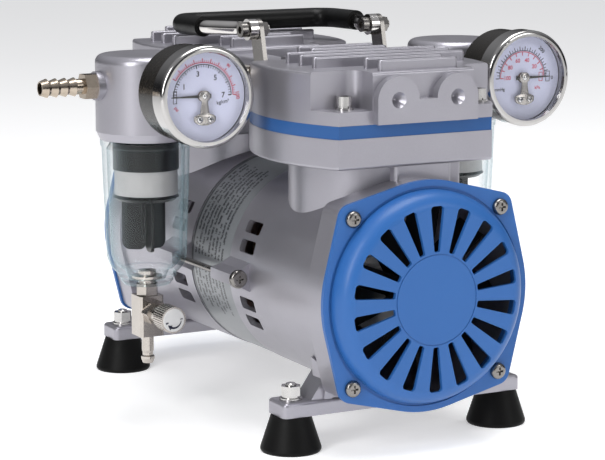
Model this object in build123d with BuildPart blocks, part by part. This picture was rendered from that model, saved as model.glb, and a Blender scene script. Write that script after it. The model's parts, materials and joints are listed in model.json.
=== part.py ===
"""Twin-cylinder oil-free rocking-piston vacuum and pressure pump with two moisture traps.

Millimetres, +Z up, the shaft along Y. The origin is on the floor under the middle of the motor:
the front fan cover faces -Y and the rear one +Y, and the left trap stands at -X.
"""
from build123d import *
import math
import os

os.makedirs("parts", exist_ok=True)

# Shaft line and motor
SHAFT_HEIGHT = 82.75
SHAFT_R = 5.0
SHAFT_HALF = 133.0
BORE_PLAY = 0.03  # radial play of a bore on the shaft or bolt that it sits on
PIN_PLAY = 0.05  # radial play of a running pin
STATOR_HALF = 25.0
STATOR_R = 58.2
ROTOR_R = 30.5
BEARING_Y = 54.0  # main bearing, distance of its middle from the motor's middle
BEARING_W = 8.0

# Housings
DRUM_START = STATOR_HALF + 0.3
DRUM_REAR_R = 58.8
DRUM_FRONT_R = 59.9
DRUM_INNER_R = 55.5
FACE_Y = 139.5  # the face that the fan cover is screwed to
FLANGE_T = 18.5
COVER_SCREW = 45.0  # half the side of the square of cover screws
TIE_X = 66.0  # tie rods run outside the stator
TIE_R = 1.75
VENT_Y = 44.0

# Feet
FOOT_X = 64.8
FOOT_Y = 110.5
FOOT_TOP = 19.7
BAR_T = 8.0
BAR_HALF = 74.0
BAR_W = 20.0
STUD_R = 3.0

# Cylinders and heads
HEAD_Y = 79.0  # cylinder axis, distance from the motor's middle
HEAD_FLAT = 47.0  # half the width of the flat ends of the head
HEAD_BULGE = 60.5  # half the width across the bulging sides
HEAD_HALF = 51.6  # half the depth
HEAD_SHIFT = 4.0  # bolts, ports and fins stand off centre, so a head fits one way round only
DECK_Z, PLATE_Z, HEAD_Z, LEDGE_Z, TOP_Z, FIN_Z = 151.4, 167.7, 174.8, 182.0, 202.0, 207.8
COLUMN_R = 44.0
BORE_R = 25.0
SLEEVE_R = 27.0
SLEEVE_Z = 139.0
HEAD_BOLT_X = 41.5
HEAD_BOLT_Y = 40.0
HEAD_BOLT_R = 2.5
PORT_X = 18.05
PORT_Z = 187.5
PORT_R = 4.0
FIN_PITCH = 15.0

# Crank
THROW = 3.0
ECCENTRIC_R = 10.0
BIG_END_W = 12.0
BIG_END_R = 21.0
ROD_TOP = 81.4  # crank pin to the top of the piston

# Handle
PIVOT_X, PIVOT_Y, PIVOT_Z = 38.8, -13.5, 216.3
PIVOT_R = 2.5
STRAP_T = 2.5
EYE_HALF = 2.5
STRAP_GAP = 0.3

# Moisture traps and gauges
TRAP_X, TRAP_Y = 100.2, -5.0
TRAP_R = 27.5
TRAP_TOP, TRAP_EDGE, BOWL_TOP = 205.0, 162.5, 158.0
BOWL_BOTTOM = 76.0
GAUGE_Z = 188.5
GAUGE_FACE = -85.7
GAUGE_BACK = -51.7
BEZEL_R = 27.2
CAN_R = 25.8
DIAL_Y = -77.6
POINTER_Y = -79.4
LENS_Y = -84.0
KNOB_Z = 61.0
BLOCK_TOP, BLOCK_BOTTOM = 69.5, 46.5
BARB_TIP = 162.5

ENDS = {"front": -1, "rear": 1}
HANDS = {"left": -1, "right": 1}


def facing(side, distance, height=SHAFT_HEIGHT, across=0.0):
    """Upright plane at one end of the pump, looking outwards along the shaft."""
    return Plane(origin=(-side * across, side * distance, height), x_dir=(-side, 0, 0), z_dir=(0, side, 0))


def level(side, height):
    """Horizontal plane centred on one cylinder: local -Y is outwards at either end."""
    return Plane(origin=(0, side * HEAD_Y, height), x_dir=(-side, 0, 0), z_dir=(0, 0, 1))


def beside(hand, distance, y, height):
    """Upright plane that looks outwards to one side of the pump."""
    return Plane(origin=(hand * distance, y, height), x_dir=(0, hand, 0), z_dir=(hand, 0, 0))


def forward(x, y, height):
    """Upright plane that looks forwards, along -Y."""
    return Plane(origin=(x, y, height), x_dir=(1, 0, 0), z_dir=(0, -1, 0))


def upright(x, y):
    """Upright plane through a vertical axis: local X is the radius and local Y the height."""
    return Plane(origin=(x, y, 0), x_dir=(1, 0, 0), z_dir=(0, -1, 0))


# ---------------------------------------------------------------- outlines used more than once
with BuildSketch() as head_outline:
    with BuildLine():
        Line((-HEAD_FLAT, -HEAD_HALF), (HEAD_FLAT, -HEAD_HALF))
        ThreePointArc((HEAD_FLAT, -HEAD_HALF), (HEAD_BULGE, 0), (HEAD_FLAT, HEAD_HALF))
        Line((HEAD_FLAT, HEAD_HALF), (-HEAD_FLAT, HEAD_HALF))
        ThreePointArc((-HEAD_FLAT, HEAD_HALF), (-HEAD_BULGE, 0), (-HEAD_FLAT, -HEAD_HALF))
    make_face()

COVER_R = 62.5
EAR_R = 8.0
COVER_SCREWS = [(x * COVER_SCREW, y * COVER_SCREW) for x in (-1, 1) for y in (-1, 1)]
with BuildSketch() as cover_outline:
    Circle(COVER_R)
    with Locations(*COVER_SCREWS):
        Circle(EAR_R)
    make_hull()

HEAD_BOLTS = [(HEAD_SHIFT + x * HEAD_BOLT_X, y * HEAD_BOLT_Y) for x in (-1, 1) for y in (-1, 1)]

# ---------------------------------------------------------------- housings, one casting at each end
VENT_ANGLES = (16.0, 27.0, 153.0, 164.0, -16.0, -27.0, -153.0, -164.0)
VENT_L, VENT_W = 17.4, 7.4
CAST_ROUND = 1.8
CAVITY_START = 58.0  # outboard of the bearing wall
WINDOW_PCD_R = 37.0
NECK_X, NECK_W, NECK_Z = 6.2, 34.7, 134.0
for end, side in ENDS.items():
    with BuildPart() as housing:
        # foot bar and the cylinder's bolting flange, with their long edges rounded
        with BuildSketch(Plane.XY.offset(FOOT_TOP)):
            with Locations((0, side * FOOT_Y)):
                RectangleRounded(2 * BAR_HALF, BAR_W, 3)
        extrude(amount=BAR_T)
        with BuildSketch(level(side, DECK_Z)):
            add(head_outline.sketch_local)
        extrude(amount=PLATE_Z - DECK_Z)
        fillet([e for e in housing.edges() if abs(e.center().Z - DECK_Z) < 0.1], radius=CAST_ROUND)
        fillet([e for e in housing.edges() if abs(e.center().Z - FOOT_TOP - BAR_T) < 0.1], radius=CAST_ROUND)
        # drum with a little draft, widest at the fan
        with BuildSketch(facing(side, DRUM_START)):
            Circle(DRUM_REAR_R)
        with BuildSketch(facing(side, FACE_Y)):
            Circle(DRUM_FRONT_R)
        loft()
        # thick rim behind the fan cover, with its four ears
        with BuildSketch(facing(side, FACE_Y - FLANGE_T)):
            add(cover_outline.sketch_local)
            offset(amount=-1.2)
        extrude(amount=FLANGE_T)
        # web that joins the foot bar to the drum
        with BuildSketch(facing(side, FOOT_Y - 8, 0)):
            with BuildLine():
                Polyline((-57, FOOT_TOP + 4), (57, FOOT_TOP + 4), (57, FOOT_TOP + BAR_T), (44, 46),
                         (-44, 46), (-57, FOOT_TOP + BAR_T), (-57, FOOT_TOP + 4))
            make_face()
        extrude(amount=16)
        # two ribs from the rim down to the bar
        for x in (-47, 47):
            with BuildSketch(Plane(origin=(x - 2.5, 0, 0), x_dir=(0, 1, 0), z_dir=(1, 0, 0))):
                Polygon((side * FOOT_Y, FOOT_TOP + 4), (side * (FOOT_Y + 9), FOOT_TOP + BAR_T),
                        (side * (FACE_Y - FLANGE_T + 2), 44), (side * (FOOT_Y - 6), 48), align=None)
            extrude(amount=5)
        # upright column for the cylinder, up to its flange
        with BuildSketch(level(side, SHAFT_HEIGHT)):
            Circle(COLUMN_R)
        extrude(amount=DECK_Z + CAST_ROUND - SHAFT_HEIGHT)
        # stepped neck between the flange and the fan rim
        with BuildSketch(level(side, NECK_Z)):
            with Locations((NECK_X, HEAD_Y - 119)):
                RectangleRounded(NECK_W, 18, 2.4)
            with Locations((NECK_X + NECK_W / 2 + 3, HEAD_Y - 109)):
                RectangleRounded(18, 18, 2.4)
        extrude(amount=DECK_Z + CAST_ROUND - NECK_Z)
        # bosses for the tie rods
        with BuildSketch(facing(side, DRUM_START)):
            with PolarLocations(0, 2):
                Polygon((50, -13), (TIE_X - 2, -5), (TIE_X + 4.5, -3), (TIE_X + 4.5, 3), (TIE_X - 2, 5),
                        (50, 13), align=None)
        extrude(amount=VENT_Y + 6 - DRUM_START)
        # inside: the motor side, the bearing wall, then the crank and fan chamber
        with BuildSketch(facing(side, DRUM_START)):
            Circle(DRUM_INNER_R)
        extrude(amount=BEARING_Y - BEARING_W / 2 - DRUM_START, mode=Mode.SUBTRACT)
        with BuildSketch(facing(side, CAVITY_START)):
            Circle(DRUM_INNER_R)
        extrude(amount=FACE_Y - CAVITY_START, mode=Mode.SUBTRACT)
        with BuildSketch(facing(side, BEARING_Y - BEARING_W / 2)):
            Circle(13 + BORE_PLAY)
            with PolarLocations(WINDOW_PCD_R, 6, start_angle=30):
                Circle(9)
        extrude(amount=BEARING_W, mode=Mode.SUBTRACT)
        # cylinder bore, with a seat for the sleeve
        with BuildSketch(level(side, SHAFT_HEIGHT + 30)):
            Circle(BORE_R + 1.0)
        extrude(amount=SLEEVE_Z - SHAFT_HEIGHT - 30, mode=Mode.SUBTRACT)
        with BuildSketch(level(side, SLEEVE_Z)):
            Circle(SLEEVE_R + BORE_PLAY)
        extrude(amount=PLATE_Z - SLEEVE_Z, mode=Mode.SUBTRACT)
        # cooling vents beside the tie-rod bosses
        for angle in VENT_ANGLES:
            a = math.radians(angle)
            out = (math.cos(a), 0, math.sin(a))
            with BuildSketch(Plane(origin=(53.5 * out[0], side * VENT_Y, SHAFT_HEIGHT + 53.5 * out[2]),
                                   x_dir=(0, 1, 0), z_dir=out)):
                RectangleRounded(VENT_L, VENT_W, 1.6)
            extrude(amount=9, mode=Mode.SUBTRACT)
        # drilled holes
        with BuildSketch(facing(side, FACE_Y)):
            with Locations(*COVER_SCREWS):
                Circle(2.0 + BORE_PLAY)
        extrude(amount=-12, mode=Mode.SUBTRACT)
        with BuildSketch(facing(side, DRUM_START)):
            with Locations((-TIE_X, 0), (TIE_X, 0)):
                Circle(TIE_R + PIN_PLAY)
        extrude(amount=40, mode=Mode.SUBTRACT)
        with BuildSketch(level(side, DECK_Z)):
            with Locations(*HEAD_BOLTS):
                Circle(HEAD_BOLT_R + BORE_PLAY)
        extrude(amount=PLATE_Z - DECK_Z, mode=Mode.SUBTRACT)
        with BuildSketch(Plane.XY.offset(FOOT_TOP)):
            with Locations((-FOOT_X, side * FOOT_Y), (FOOT_X, side * FOOT_Y)):
                Circle(STUD_R + 0.2)
        extrude(amount=BAR_T, mode=Mode.SUBTRACT)
    housing.part.label = f"{end}_housing"
    export_step(housing.part, f"parts/{end}_housing.step")

# ---------------------------------------------------------------- fan covers, pressed and painted
COVER_T = 2.5
DOME_FACE = 152.4
DOME_R = 57.5
SLOTS = 18
SLOT_IN, SLOT_OUT = 25.5, 50.0
for end, side in ENDS.items():
    with BuildPart() as fan_cover:
        with BuildSketch(facing(side, FACE_Y)):
            add(cover_outline.sketch_local)
        extrude(amount=COVER_T)
        # raised dish with a rounded shoulder
        with BuildSketch(Plane.XY.offset(SHAFT_HEIGHT)):
            with BuildLine():
                Spline((DOME_R, side * (FACE_Y + COVER_T)), (DOME_R - 1.2, side * (DOME_FACE - 5.5)),
                       (DOME_R - 5.0, side * (DOME_FACE - 1.2)), (DOME_R - 9.0, side * DOME_FACE))
                Polyline((DOME_R - 9.0, side * DOME_FACE), (0, side * DOME_FACE), (0, side * (FACE_Y + COVER_T)),
                         (DOME_R, side * (FACE_Y + COVER_T)))
            make_face()
        revolve(axis=Axis((0, 0, SHAFT_HEIGHT), (0, 1, 0)))
        # hollow behind the dish
        with BuildSketch(facing(side, FACE_Y)):
            Circle(DOME_R - 3.0)
        extrude(amount=5.5, mode=Mode.SUBTRACT)
        with BuildSketch(facing(side, FACE_Y + 5.5)):
            Circle(DOME_R - 4.5)
        extrude(amount=DOME_FACE - 2.2 - FACE_Y - 5.5, taper=20, mode=Mode.SUBTRACT)
        # groove between the dish and the flat rim
        with BuildSketch(facing(side, FACE_Y + COVER_T)):
            Circle(DOME_R + 1.6)
            Circle(DOME_R - 0.2, mode=Mode.SUBTRACT)
        extrude(amount=-0.8, mode=Mode.SUBTRACT)
        # radial slots, wider and rounder at the outside
        with BuildSketch(facing(side, DOME_FACE)) as slots:
            with PolarLocations(0, SLOTS, start_angle=90):
                Polygon((SLOT_IN, -1.7), (SLOT_OUT, -4.2), (SLOT_OUT, 4.2), (SLOT_IN, 1.7), align=None)
            outer_corners = [v for v in slots.vertices() if math.hypot(v.X, v.Y) > SLOT_OUT - 1]
            fillet(outer_corners, radius=2.0)
            inner_corners = [v for v in slots.vertices() if math.hypot(v.X, v.Y) < SLOT_IN + 0.5]
            fillet(inner_corners, radius=1.0)
        extrude(amount=-8, mode=Mode.SUBTRACT)
        # fine ring pressed round the middle disc
        with BuildSketch(facing(side, DOME_FACE)):
            Circle(SLOT_IN - 0.9)
            Circle(SLOT_IN - 1.5, mode=Mode.SUBTRACT)
        extrude(amount=-0.35, mode=Mode.SUBTRACT)
        with BuildSketch(facing(side, FACE_Y + COVER_T)):
            with Locations(*COVER_SCREWS):
                Circle(2.2)
        extrude(amount=-COVER_T, mode=Mode.SUBTRACT)
    fan_cover.part.label = f"{end}_fan_cover"
    export_step(fan_cover.part, f"parts/{end}_fan_cover.step")

PAN_R, PAN_H, PAN_ROUND = 4.5, 2.8, 1.9
CROSS_L, CROSS_W, CROSS_D = 4.4, 1.1, 1.5


def cross_recess(head_face):
    """Cross slot of a screw head, as a sketch on the plane of the head's face."""
    with BuildSketch(head_face, mode=Mode.PRIVATE) as cross:
        Rectangle(CROSS_L, CROSS_W)
        Rectangle(CROSS_W, CROSS_L)
    return cross.sketch


with BuildPart() as cover_screws:
    for side in ENDS.values():
        with BuildSketch(facing(side, FACE_Y + COVER_T)):
            with Locations(*COVER_SCREWS):
                Circle(PAN_R)
        extrude(amount=PAN_H)
        fillet([e for e in cover_screws.edges() if abs(e.center().Y - side * (FACE_Y + COVER_T + PAN_H)) < 0.1],
               radius=PAN_ROUND)
        with BuildSketch(facing(side, FACE_Y + COVER_T)):
            with Locations(*COVER_SCREWS):
                Circle(2.0)
        extrude(amount=-10)
        for x, y in COVER_SCREWS:
            head = facing(side, FACE_Y + COVER_T + PAN_H, SHAFT_HEIGHT + y, x)
            extrude(cross_recess(head), amount=-CROSS_D, mode=Mode.SUBTRACT)
cover_screws.part.label = "fan_cover_screws"
export_step(cover_screws.part, "parts/fan_cover_screws.step")

# ---------------------------------------------------------------- motor
with BuildPart() as stator:
    with BuildSketch(facing(1, -STATOR_HALF)):
        Circle(STATOR_R)
        Circle(ROTOR_R + 0.5, mode=Mode.SUBTRACT)
        with PolarLocations(39, 24):
            RectangleRounded(12, 4.4, 2)
    extrude(amount=2 * STATOR_HALF)
stator.part.label = "stator_core"
export_step(stator.part, "parts/stator_core.step")

WINDING_IN, WINDING_OUT, WINDING_L = 33.0, 48.0, 16.0
with BuildPart() as winding:
    for side in ENDS.values():
        with BuildSketch(Plane.XY.offset(SHAFT_HEIGHT)):
            with Locations(((WINDING_IN + WINDING_OUT) / 2, side * (STATOR_HALF + 0.1 + WINDING_L / 2))):
                RectangleRounded(WINDING_OUT - WINDING_IN, WINDING_L, 5)
        revolve(axis=Axis((0, 0, SHAFT_HEIGHT), (0, 1, 0)))
winding.part.label = "stator_winding"
export_step(winding.part, "parts/stator_winding.step")

ROD_NUT_AF = 7.0
with BuildPart() as tie_rods:
    with BuildSketch(facing(1, -VENT_Y - 6)):
        with Locations((-TIE_X, 0), (TIE_X, 0)):
            Circle(TIE_R)
    extrude(amount=2 * VENT_Y + 12 + 5)
    with BuildSketch(facing(-1, VENT_Y + 6)):
        with Locations((-TIE_X, 0), (TIE_X, 0)):
            Circle(5.2)
    extrude(amount=3.0)
    fillet([e for e in tie_rods.edges() if abs(e.center().Y + VENT_Y + 9) < 0.1], radius=PAN_ROUND)
    for x in (-TIE_X, TIE_X):
        extrude(cross_recess(facing(-1, VENT_Y + 9, SHAFT_HEIGHT, x)), amount=-CROSS_D, mode=Mode.SUBTRACT)
    with BuildSketch(facing(1, VENT_Y + 6)):
        with Locations((-TIE_X, 0), (TIE_X, 0)):
            RegularPolygon(ROD_NUT_AF / 2, 6, major_radius=False)
    extrude(amount=3.2)
tie_rods.part.label = "tie_rods"
export_step(tie_rods.part, "parts/tie_rods.step")

BALLS = 8
BEARING_PITCH_R = 9.0
BALL_R = 1.45
with BuildPart() as outer_races:
    for side in ENDS.values():
        with BuildSketch(facing(side, BEARING_Y - BEARING_W / 2)):
            Circle(13.0)
            Circle(BEARING_PITCH_R + 1.5, mode=Mode.SUBTRACT)
        extrude(amount=BEARING_W)
        with Locations(facing(side, BEARING_Y)):
            with PolarLocations(BEARING_PITCH_R, BALLS):
                Sphere(BALL_R)
outer_races.part.label = "main_bearings"
export_step(outer_races.part, "parts/main_bearings.step")

with BuildPart() as inner_races:
    for side in ENDS.values():
        with BuildSketch(facing(side, BEARING_Y - BEARING_W / 2)):
            Circle(BEARING_PITCH_R - 1.5)
            Circle(SHAFT_R + BORE_PLAY, mode=Mode.SUBTRACT)
        extrude(amount=BEARING_W)
inner_races.part.label = "bearing_inner_races"
export_step(inner_races.part, "parts/bearing_inner_races.step")

with BuildPart() as shaft:
    with BuildSketch(facing(1, -SHAFT_HALF)):
        Circle(SHAFT_R)
    extrude(amount=2 * SHAFT_HALF)
    chamfer(shaft.edges().filter_by(GeomType.CIRCLE), length=0.8)
shaft.part.label = "shaft"
export_step(shaft.part, "parts/shaft.step")

with BuildPart() as rotor_core:
    with BuildSketch(facing(1, -STATOR_HALF - 1)):
        Circle(ROTOR_R)
        Circle(SHAFT_R + BORE_PLAY, mode=Mode.SUBTRACT)
    extrude(amount=2 * STATOR_HALF + 2)
    # cast end rings
    for side in ENDS.values():
        with BuildSketch(facing(side, STATOR_HALF + 1)):
            Circle(ROTOR_R - 1)
            Circle(ROTOR_R - 9, mode=Mode.SUBTRACT)
        extrude(amount=5)
rotor_core.part.label = "rotor_core"
export_step(rotor_core.part, "parts/rotor_core.step")

FAN_START, FAN_W, FAN_R, BLADES = 117.0, 16.0, 50.0, 9
with BuildPart() as fans:
    for side in ENDS.values():
        with BuildSketch(facing(side, FAN_START)):
            Circle(11)
        extrude(amount=FAN_W)
        with Locations(facing(side, FAN_START + FAN_W / 2)):
            with PolarLocations(29, BLADES):
                Box(FAN_R - 8, 2.0, 17, rotation=(38, 0, 0))
        with BuildSketch(facing(side, FAN_START)):
            Circle(SHAFT_R + BORE_PLAY)
        extrude(amount=FAN_W, mode=Mode.SUBTRACT)
fans.part.label = "cooling_fans"
export_step(fans.part, "parts/cooling_fans.step")

# ---------------------------------------------------------------- cranks, rods and pistons
SEAL_R = BORE_R - THROW - 0.4  # the rod keeps upright, so its head moves sideways by the throw
with BuildPart() as eccentrics:
    for side in ENDS.values():
        with BuildSketch(facing(side, HEAD_Y - BIG_END_W / 2 - 1, SHAFT_HEIGHT - side * THROW)):
            Circle(ECCENTRIC_R)
        extrude(amount=BIG_END_W + 2)
        # hub and a half-disc counterweight opposite the throw
        with BuildSketch(facing(side, HEAD_Y + BIG_END_W / 2 + 1)):
            Circle(27)
            with Locations((0, -20 * side)):
                Rectangle(60, 44, mode=Mode.SUBTRACT)
            Circle(9)
        extrude(amount=9)
        with BuildSketch(facing(side, HEAD_Y - BIG_END_W)):
            Circle(SHAFT_R + BORE_PLAY)
        extrude(amount=3 * BIG_END_W, mode=Mode.SUBTRACT)
eccentrics.part.label = "eccentrics"
export_step(eccentrics.part, "parts/eccentrics.step")

for end, side in ENDS.items():
    pin_z = SHAFT_HEIGHT - side * THROW  # the front piston is at the top and the rear one at the bottom
    with BuildPart() as rod_bearing:
        with BuildSketch(facing(side, HEAD_Y - BIG_END_W / 2, pin_z)):
            Circle(BIG_END_R)
            Circle(ECCENTRIC_R + PIN_PLAY, mode=Mode.SUBTRACT)
        extrude(amount=BIG_END_W)
    rod_bearing.part.label = f"{end}_rod_bearing"
    export_step(rod_bearing.part, f"parts/{end}_rod_bearing.step")

    with BuildPart() as con_rod:
        with BuildSketch(facing(side, HEAD_Y - BIG_END_W / 2, pin_z)):
            Circle(BIG_END_R + 5)
            with BuildLine():
                Polyline((-13, 20), (-7.5, 72), (7.5, 72), (13, 20), (-13, 20))
            make_face()
            Circle(BIG_END_R + BORE_PLAY, mode=Mode.SUBTRACT)
        extrude(amount=BIG_END_W)
        with BuildSketch(level(side, pin_z + 71)):
            Circle(SEAL_R - 1.5)
        extrude(amount=5.5)
        with BuildSketch(level(side, pin_z + 60)):
            Circle(2.0 + BORE_PLAY)
        extrude(amount=20, mode=Mode.SUBTRACT)
    con_rod.part.label = f"{end}_piston_rod"
    export_step(con_rod.part, f"parts/{end}_piston_rod.step")

    with BuildPart() as cup:
        with BuildSketch(level(side, pin_z + 76.5)):
            Circle(SEAL_R)
        extrude(amount=ROD_TOP - 76.5)
        with BuildSketch(level(side, pin_z + 78)):
            Circle(SEAL_R - 1.4)
        extrude(amount=ROD_TOP - 78, mode=Mode.SUBTRACT)
        with BuildSketch(level(side, pin_z + 76.5)):
            Circle(2.0 + BORE_PLAY)
        extrude(amount=3, mode=Mode.SUBTRACT)
    cup.part.label = f"{end}_piston_cup"
    export_step(cup.part, f"parts/{end}_piston_cup.step")

    with BuildPart() as clamp:
        with BuildSketch(level(side, pin_z + 78)):
            Circle(SEAL_R - 2.2)
        extrude(amount=2.4, taper=10)
        with BuildSketch(level(side, pin_z + 62)):
            Circle(2.0)
        extrude(amount=18)
        with BuildSketch(level(side, pin_z + 80.4)):
            Rectangle(8, 1.2)
            Rectangle(1.2, 8)
        extrude(amount=-1.2, mode=Mode.SUBTRACT)
    clamp.part.label = f"{end}_piston_clamp"
    export_step(clamp.part, f"parts/{end}_piston_clamp.step")

# ---------------------------------------------------------------- sleeves, valve plates and heads
CHAMBER_X, CHAMBER_L, CHAMBER_W = 13.0, 46.0, 22.0
CHAMBER_TOP = 196.0
REED_W, REED_L, REED_T = 12.0, 30.0, 0.4
POCKET_X, POCKET_Y = 31.0, 34.5  # where the corner pockets for the bolts begin
BOSS_Y = HEAD_HALF + 5.3
DIMPLE_R, DIMPLE_DEPTH = 4.3, 4.6
with BuildPart() as sleeves:
    for side in ENDS.values():
        with BuildSketch(level(side, SLEEVE_Z)):
            Circle(SLEEVE_R)
            Circle(BORE_R, mode=Mode.SUBTRACT)
        extrude(amount=PLATE_Z - SLEEVE_Z)
sleeves.part.label = "cylinder_sleeves"
export_step(sleeves.part, "parts/cylinder_sleeves.step")

with BuildPart() as valve_plates:
    for side in ENDS.values():
        with BuildSketch(level(side, PLATE_Z)):
            add(head_outline.sketch_local)
            offset(amount=-0.3)
            with Locations(*HEAD_BOLTS):
                Circle(HEAD_BOLT_R + BORE_PLAY, mode=Mode.SUBTRACT)
            for x in (-CHAMBER_X, CHAMBER_X):
                with Locations((x, -6), (x, 0), (x, 6)):
                    Circle(2.0, mode=Mode.SUBTRACT)
        extrude(amount=HEAD_Z - PLATE_Z)
        with BuildSketch(level(side, PLATE_Z)):
            with Locations((CHAMBER_X, 4)):
                Rectangle(REED_W + 1, REED_L)
        extrude(amount=0.8, mode=Mode.SUBTRACT)
        with BuildSketch(level(side, HEAD_Z)):
            Circle(33)
            Circle(30.5, mode=Mode.SUBTRACT)
        extrude(amount=-1.6, mode=Mode.SUBTRACT)
valve_plates.part.label = "valve_plates"
export_step(valve_plates.part, "parts/valve_plates.step")

for end, side in ENDS.items():
    with BuildPart() as head:
        with BuildSketch(level(side, HEAD_Z)):
            add(head_outline.sketch_local)
        extrude(amount=TOP_Z - HEAD_Z)
        fillet(head.edges().group_by(Axis.Z)[-1], radius=1.6)
        # corner pockets with rounded backs, down to the ledges that the bolts stand on
        with BuildSketch(level(side, LEDGE_Z)):
            for sx in (-1, 1):
                for sy in (-1, 1):
                    with Locations((HEAD_SHIFT + sx * (POCKET_X + 25), sy * (POCKET_Y + 25))):
                        RectangleRounded(50, 50, 7)
        extrude(amount=TOP_Z - LEDGE_Z, mode=Mode.SUBTRACT)
        # port plate: a low step and two round bosses
        with BuildSketch(facing(side, HEAD_Y + HEAD_HALF - 2, 0)):
            with Locations((HEAD_SHIFT, (HEAD_Z + 0.2 + PORT_Z) / 2)):
                Rectangle(2 * (PORT_X + 12.6), PORT_Z - HEAD_Z - 0.2)
            with Locations((HEAD_SHIFT - PORT_X, PORT_Z), (HEAD_SHIFT + PORT_X, PORT_Z)):
                Circle(12.6)
        extrude(amount=BOSS_Y - HEAD_HALF + 2)
        # fins: the two rows at either end stop short of the pockets
        for row in range(-3, 4):
            length = 94.0 if abs(row) < 2 else 48.0
            with BuildSketch(level(side, TOP_Z - 1)):
                with Locations((HEAD_SHIFT, row * FIN_PITCH)):
                    RectangleRounded(length, 3.6, 1.7)
            extrude(amount=FIN_Z - TOP_Z + 1)
        fillet([e for e in head.edges() if abs(e.center().Z - FIN_Z) < 0.1], radius=1.1)
        # two chambers open to the valve plate, and the blind starts of the ports that this pump leaves undrilled
        with BuildSketch(level(side, HEAD_Z)):
            with Locations((-CHAMBER_X, 0), (CHAMBER_X, 0)):
                RectangleRounded(CHAMBER_W, CHAMBER_L, 4)
        extrude(amount=CHAMBER_TOP - HEAD_Z, mode=Mode.SUBTRACT)
        for x in (HEAD_SHIFT - PORT_X, HEAD_SHIFT + PORT_X):
            for depth, radius in ((0, DIMPLE_R), (DIMPLE_DEPTH, 0.5)):
                with BuildSketch(facing(side, HEAD_Y + BOSS_Y - depth, 0)):
                    with Locations((x, PORT_Z)):
                        Circle(radius)
            loft(mode=Mode.SUBTRACT)
        # drilled ports at the back, towards the manifolds
        with BuildSketch(facing(side, HEAD_Y - HEAD_HALF, 0)):
            with Locations((-20, PORT_Z + 1), (20, PORT_Z + 1)):
                Circle(PORT_R)
        extrude(amount=HEAD_HALF - CHAMBER_L / 2 + 2, mode=Mode.SUBTRACT)
        with BuildSketch(level(side, HEAD_Z)):
            with Locations(*HEAD_BOLTS):
                Circle(HEAD_BOLT_R + BORE_PLAY)
        extrude(amount=LEDGE_Z - HEAD_Z, mode=Mode.SUBTRACT)
    head.part.label = f"{end}_cylinder_head"
    export_step(head.part, f"parts/{end}_cylinder_head.step")

with BuildPart() as seals:
    for side in ENDS.values():
        with BuildSketch(level(side, HEAD_Z)):
            Circle(32.8)
            Circle(30.7, mode=Mode.SUBTRACT)
        extrude(amount=-1.6)
seals.part.label = "head_seals"
export_step(seals.part, "parts/head_seals.step")

with BuildPart() as reeds:
    for side in ENDS.values():
        with BuildSketch(level(side, HEAD_Z)):
            with Locations((-CHAMBER_X, 4)):
                RectangleRounded(REED_W, REED_L, 3)
        extrude(amount=REED_T)
        with BuildSketch(level(side, PLATE_Z + 0.8)):
            with Locations((CHAMBER_X, 4)):
                RectangleRounded(REED_W, REED_L - 1, 3)
        extrude(amount=-REED_T)
reeds.part.label = "reed_valves"
export_step(reeds.part, "parts/reed_valves.step")

WASHER_R, WASHER_T, SPRING_T = 5.0, 1.0, 1.2
SOCKET_HEAD_R, SOCKET_HEAD_H = 4.25, 5.0


def bolt_seat(side, y):
    """Height that a head bolt's washers lie on: the handle straps lie under the two inner front bolts."""
    return LEDGE_Z + (STRAP_T if side < 0 and y > 0 else 0)


with BuildPart() as head_washers:
    for side in ENDS.values():
        for x, y in HEAD_BOLTS:
            with BuildSketch(level(side, bolt_seat(side, y))):
                with Locations((x, y)):
                    Circle(WASHER_R)
                    Circle(HEAD_BOLT_R + BORE_PLAY, mode=Mode.SUBTRACT)
            extrude(amount=WASHER_T)
            with BuildSketch(level(side, bolt_seat(side, y) + WASHER_T)):
                with Locations((x, y)):
                    Circle(WASHER_R - 0.8)
                    Circle(HEAD_BOLT_R + BORE_PLAY, mode=Mode.SUBTRACT)
                    with Locations((0, -WASHER_R + 1.5)):
                        Rectangle(0.7, 4, mode=Mode.SUBTRACT)
            extrude(amount=SPRING_T)
head_washers.part.label = "head_bolt_washers"
export_step(head_washers.part, "parts/head_bolt_washers.step")

with BuildPart() as head_bolts:
    for side in ENDS.values():
        for x, y in HEAD_BOLTS:
            seat = bolt_seat(side, y) + WASHER_T + SPRING_T
            with BuildSketch(level(side, DECK_Z + 3)):
                with Locations((x, y)):
                    Circle(HEAD_BOLT_R)
            extrude(amount=seat - DECK_Z - 3)
            with BuildSketch(level(side, seat)):
                with Locations((x, y)):
                    Circle(SOCKET_HEAD_R)
            extrude(amount=SOCKET_HEAD_H)
            with BuildSketch(level(side, seat + SOCKET_HEAD_H)):
                with Locations((x, y)):
                    RegularPolygon(2.0, 6, major_radius=False)
            extrude(amount=-2.6, mode=Mode.SUBTRACT)
head_bolts.part.label = "head_bolts"
export_step(head_bolts.part, "parts/head_bolts.step")

# ---------------------------------------------------------------- carrying handle
STRAP_R = 6.0
STRAP_FOOT_Y = -21.0
STRAP_FOOT_R = 5.2
CROSSBAR_Y, CROSSBAR_Z, CROSSBAR_HALF = 61.5, 215.0, 50.0
NECK_Y, ARM_Y, GRIP_START = -1.5, 19.5, 24.0
BEND_R = 12.0
ROD_R, GRIP_R, GRIP_IN = 4.0, 5.8, 4.1


def along_x(x):
    """Upright plane across the pivot line: local X is Y and local Y is the height."""
    return Plane(origin=(x, 0, 0), x_dir=(0, 1, 0), z_dir=(1, 0, 0))


def rod_height(y):
    """The handle leans back a little, down towards the rear head's fins."""
    return PIVOT_Z - (PIVOT_Z - CROSSBAR_Z) * (y - PIVOT_Y) / (CROSSBAR_Y - PIVOT_Y)


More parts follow.
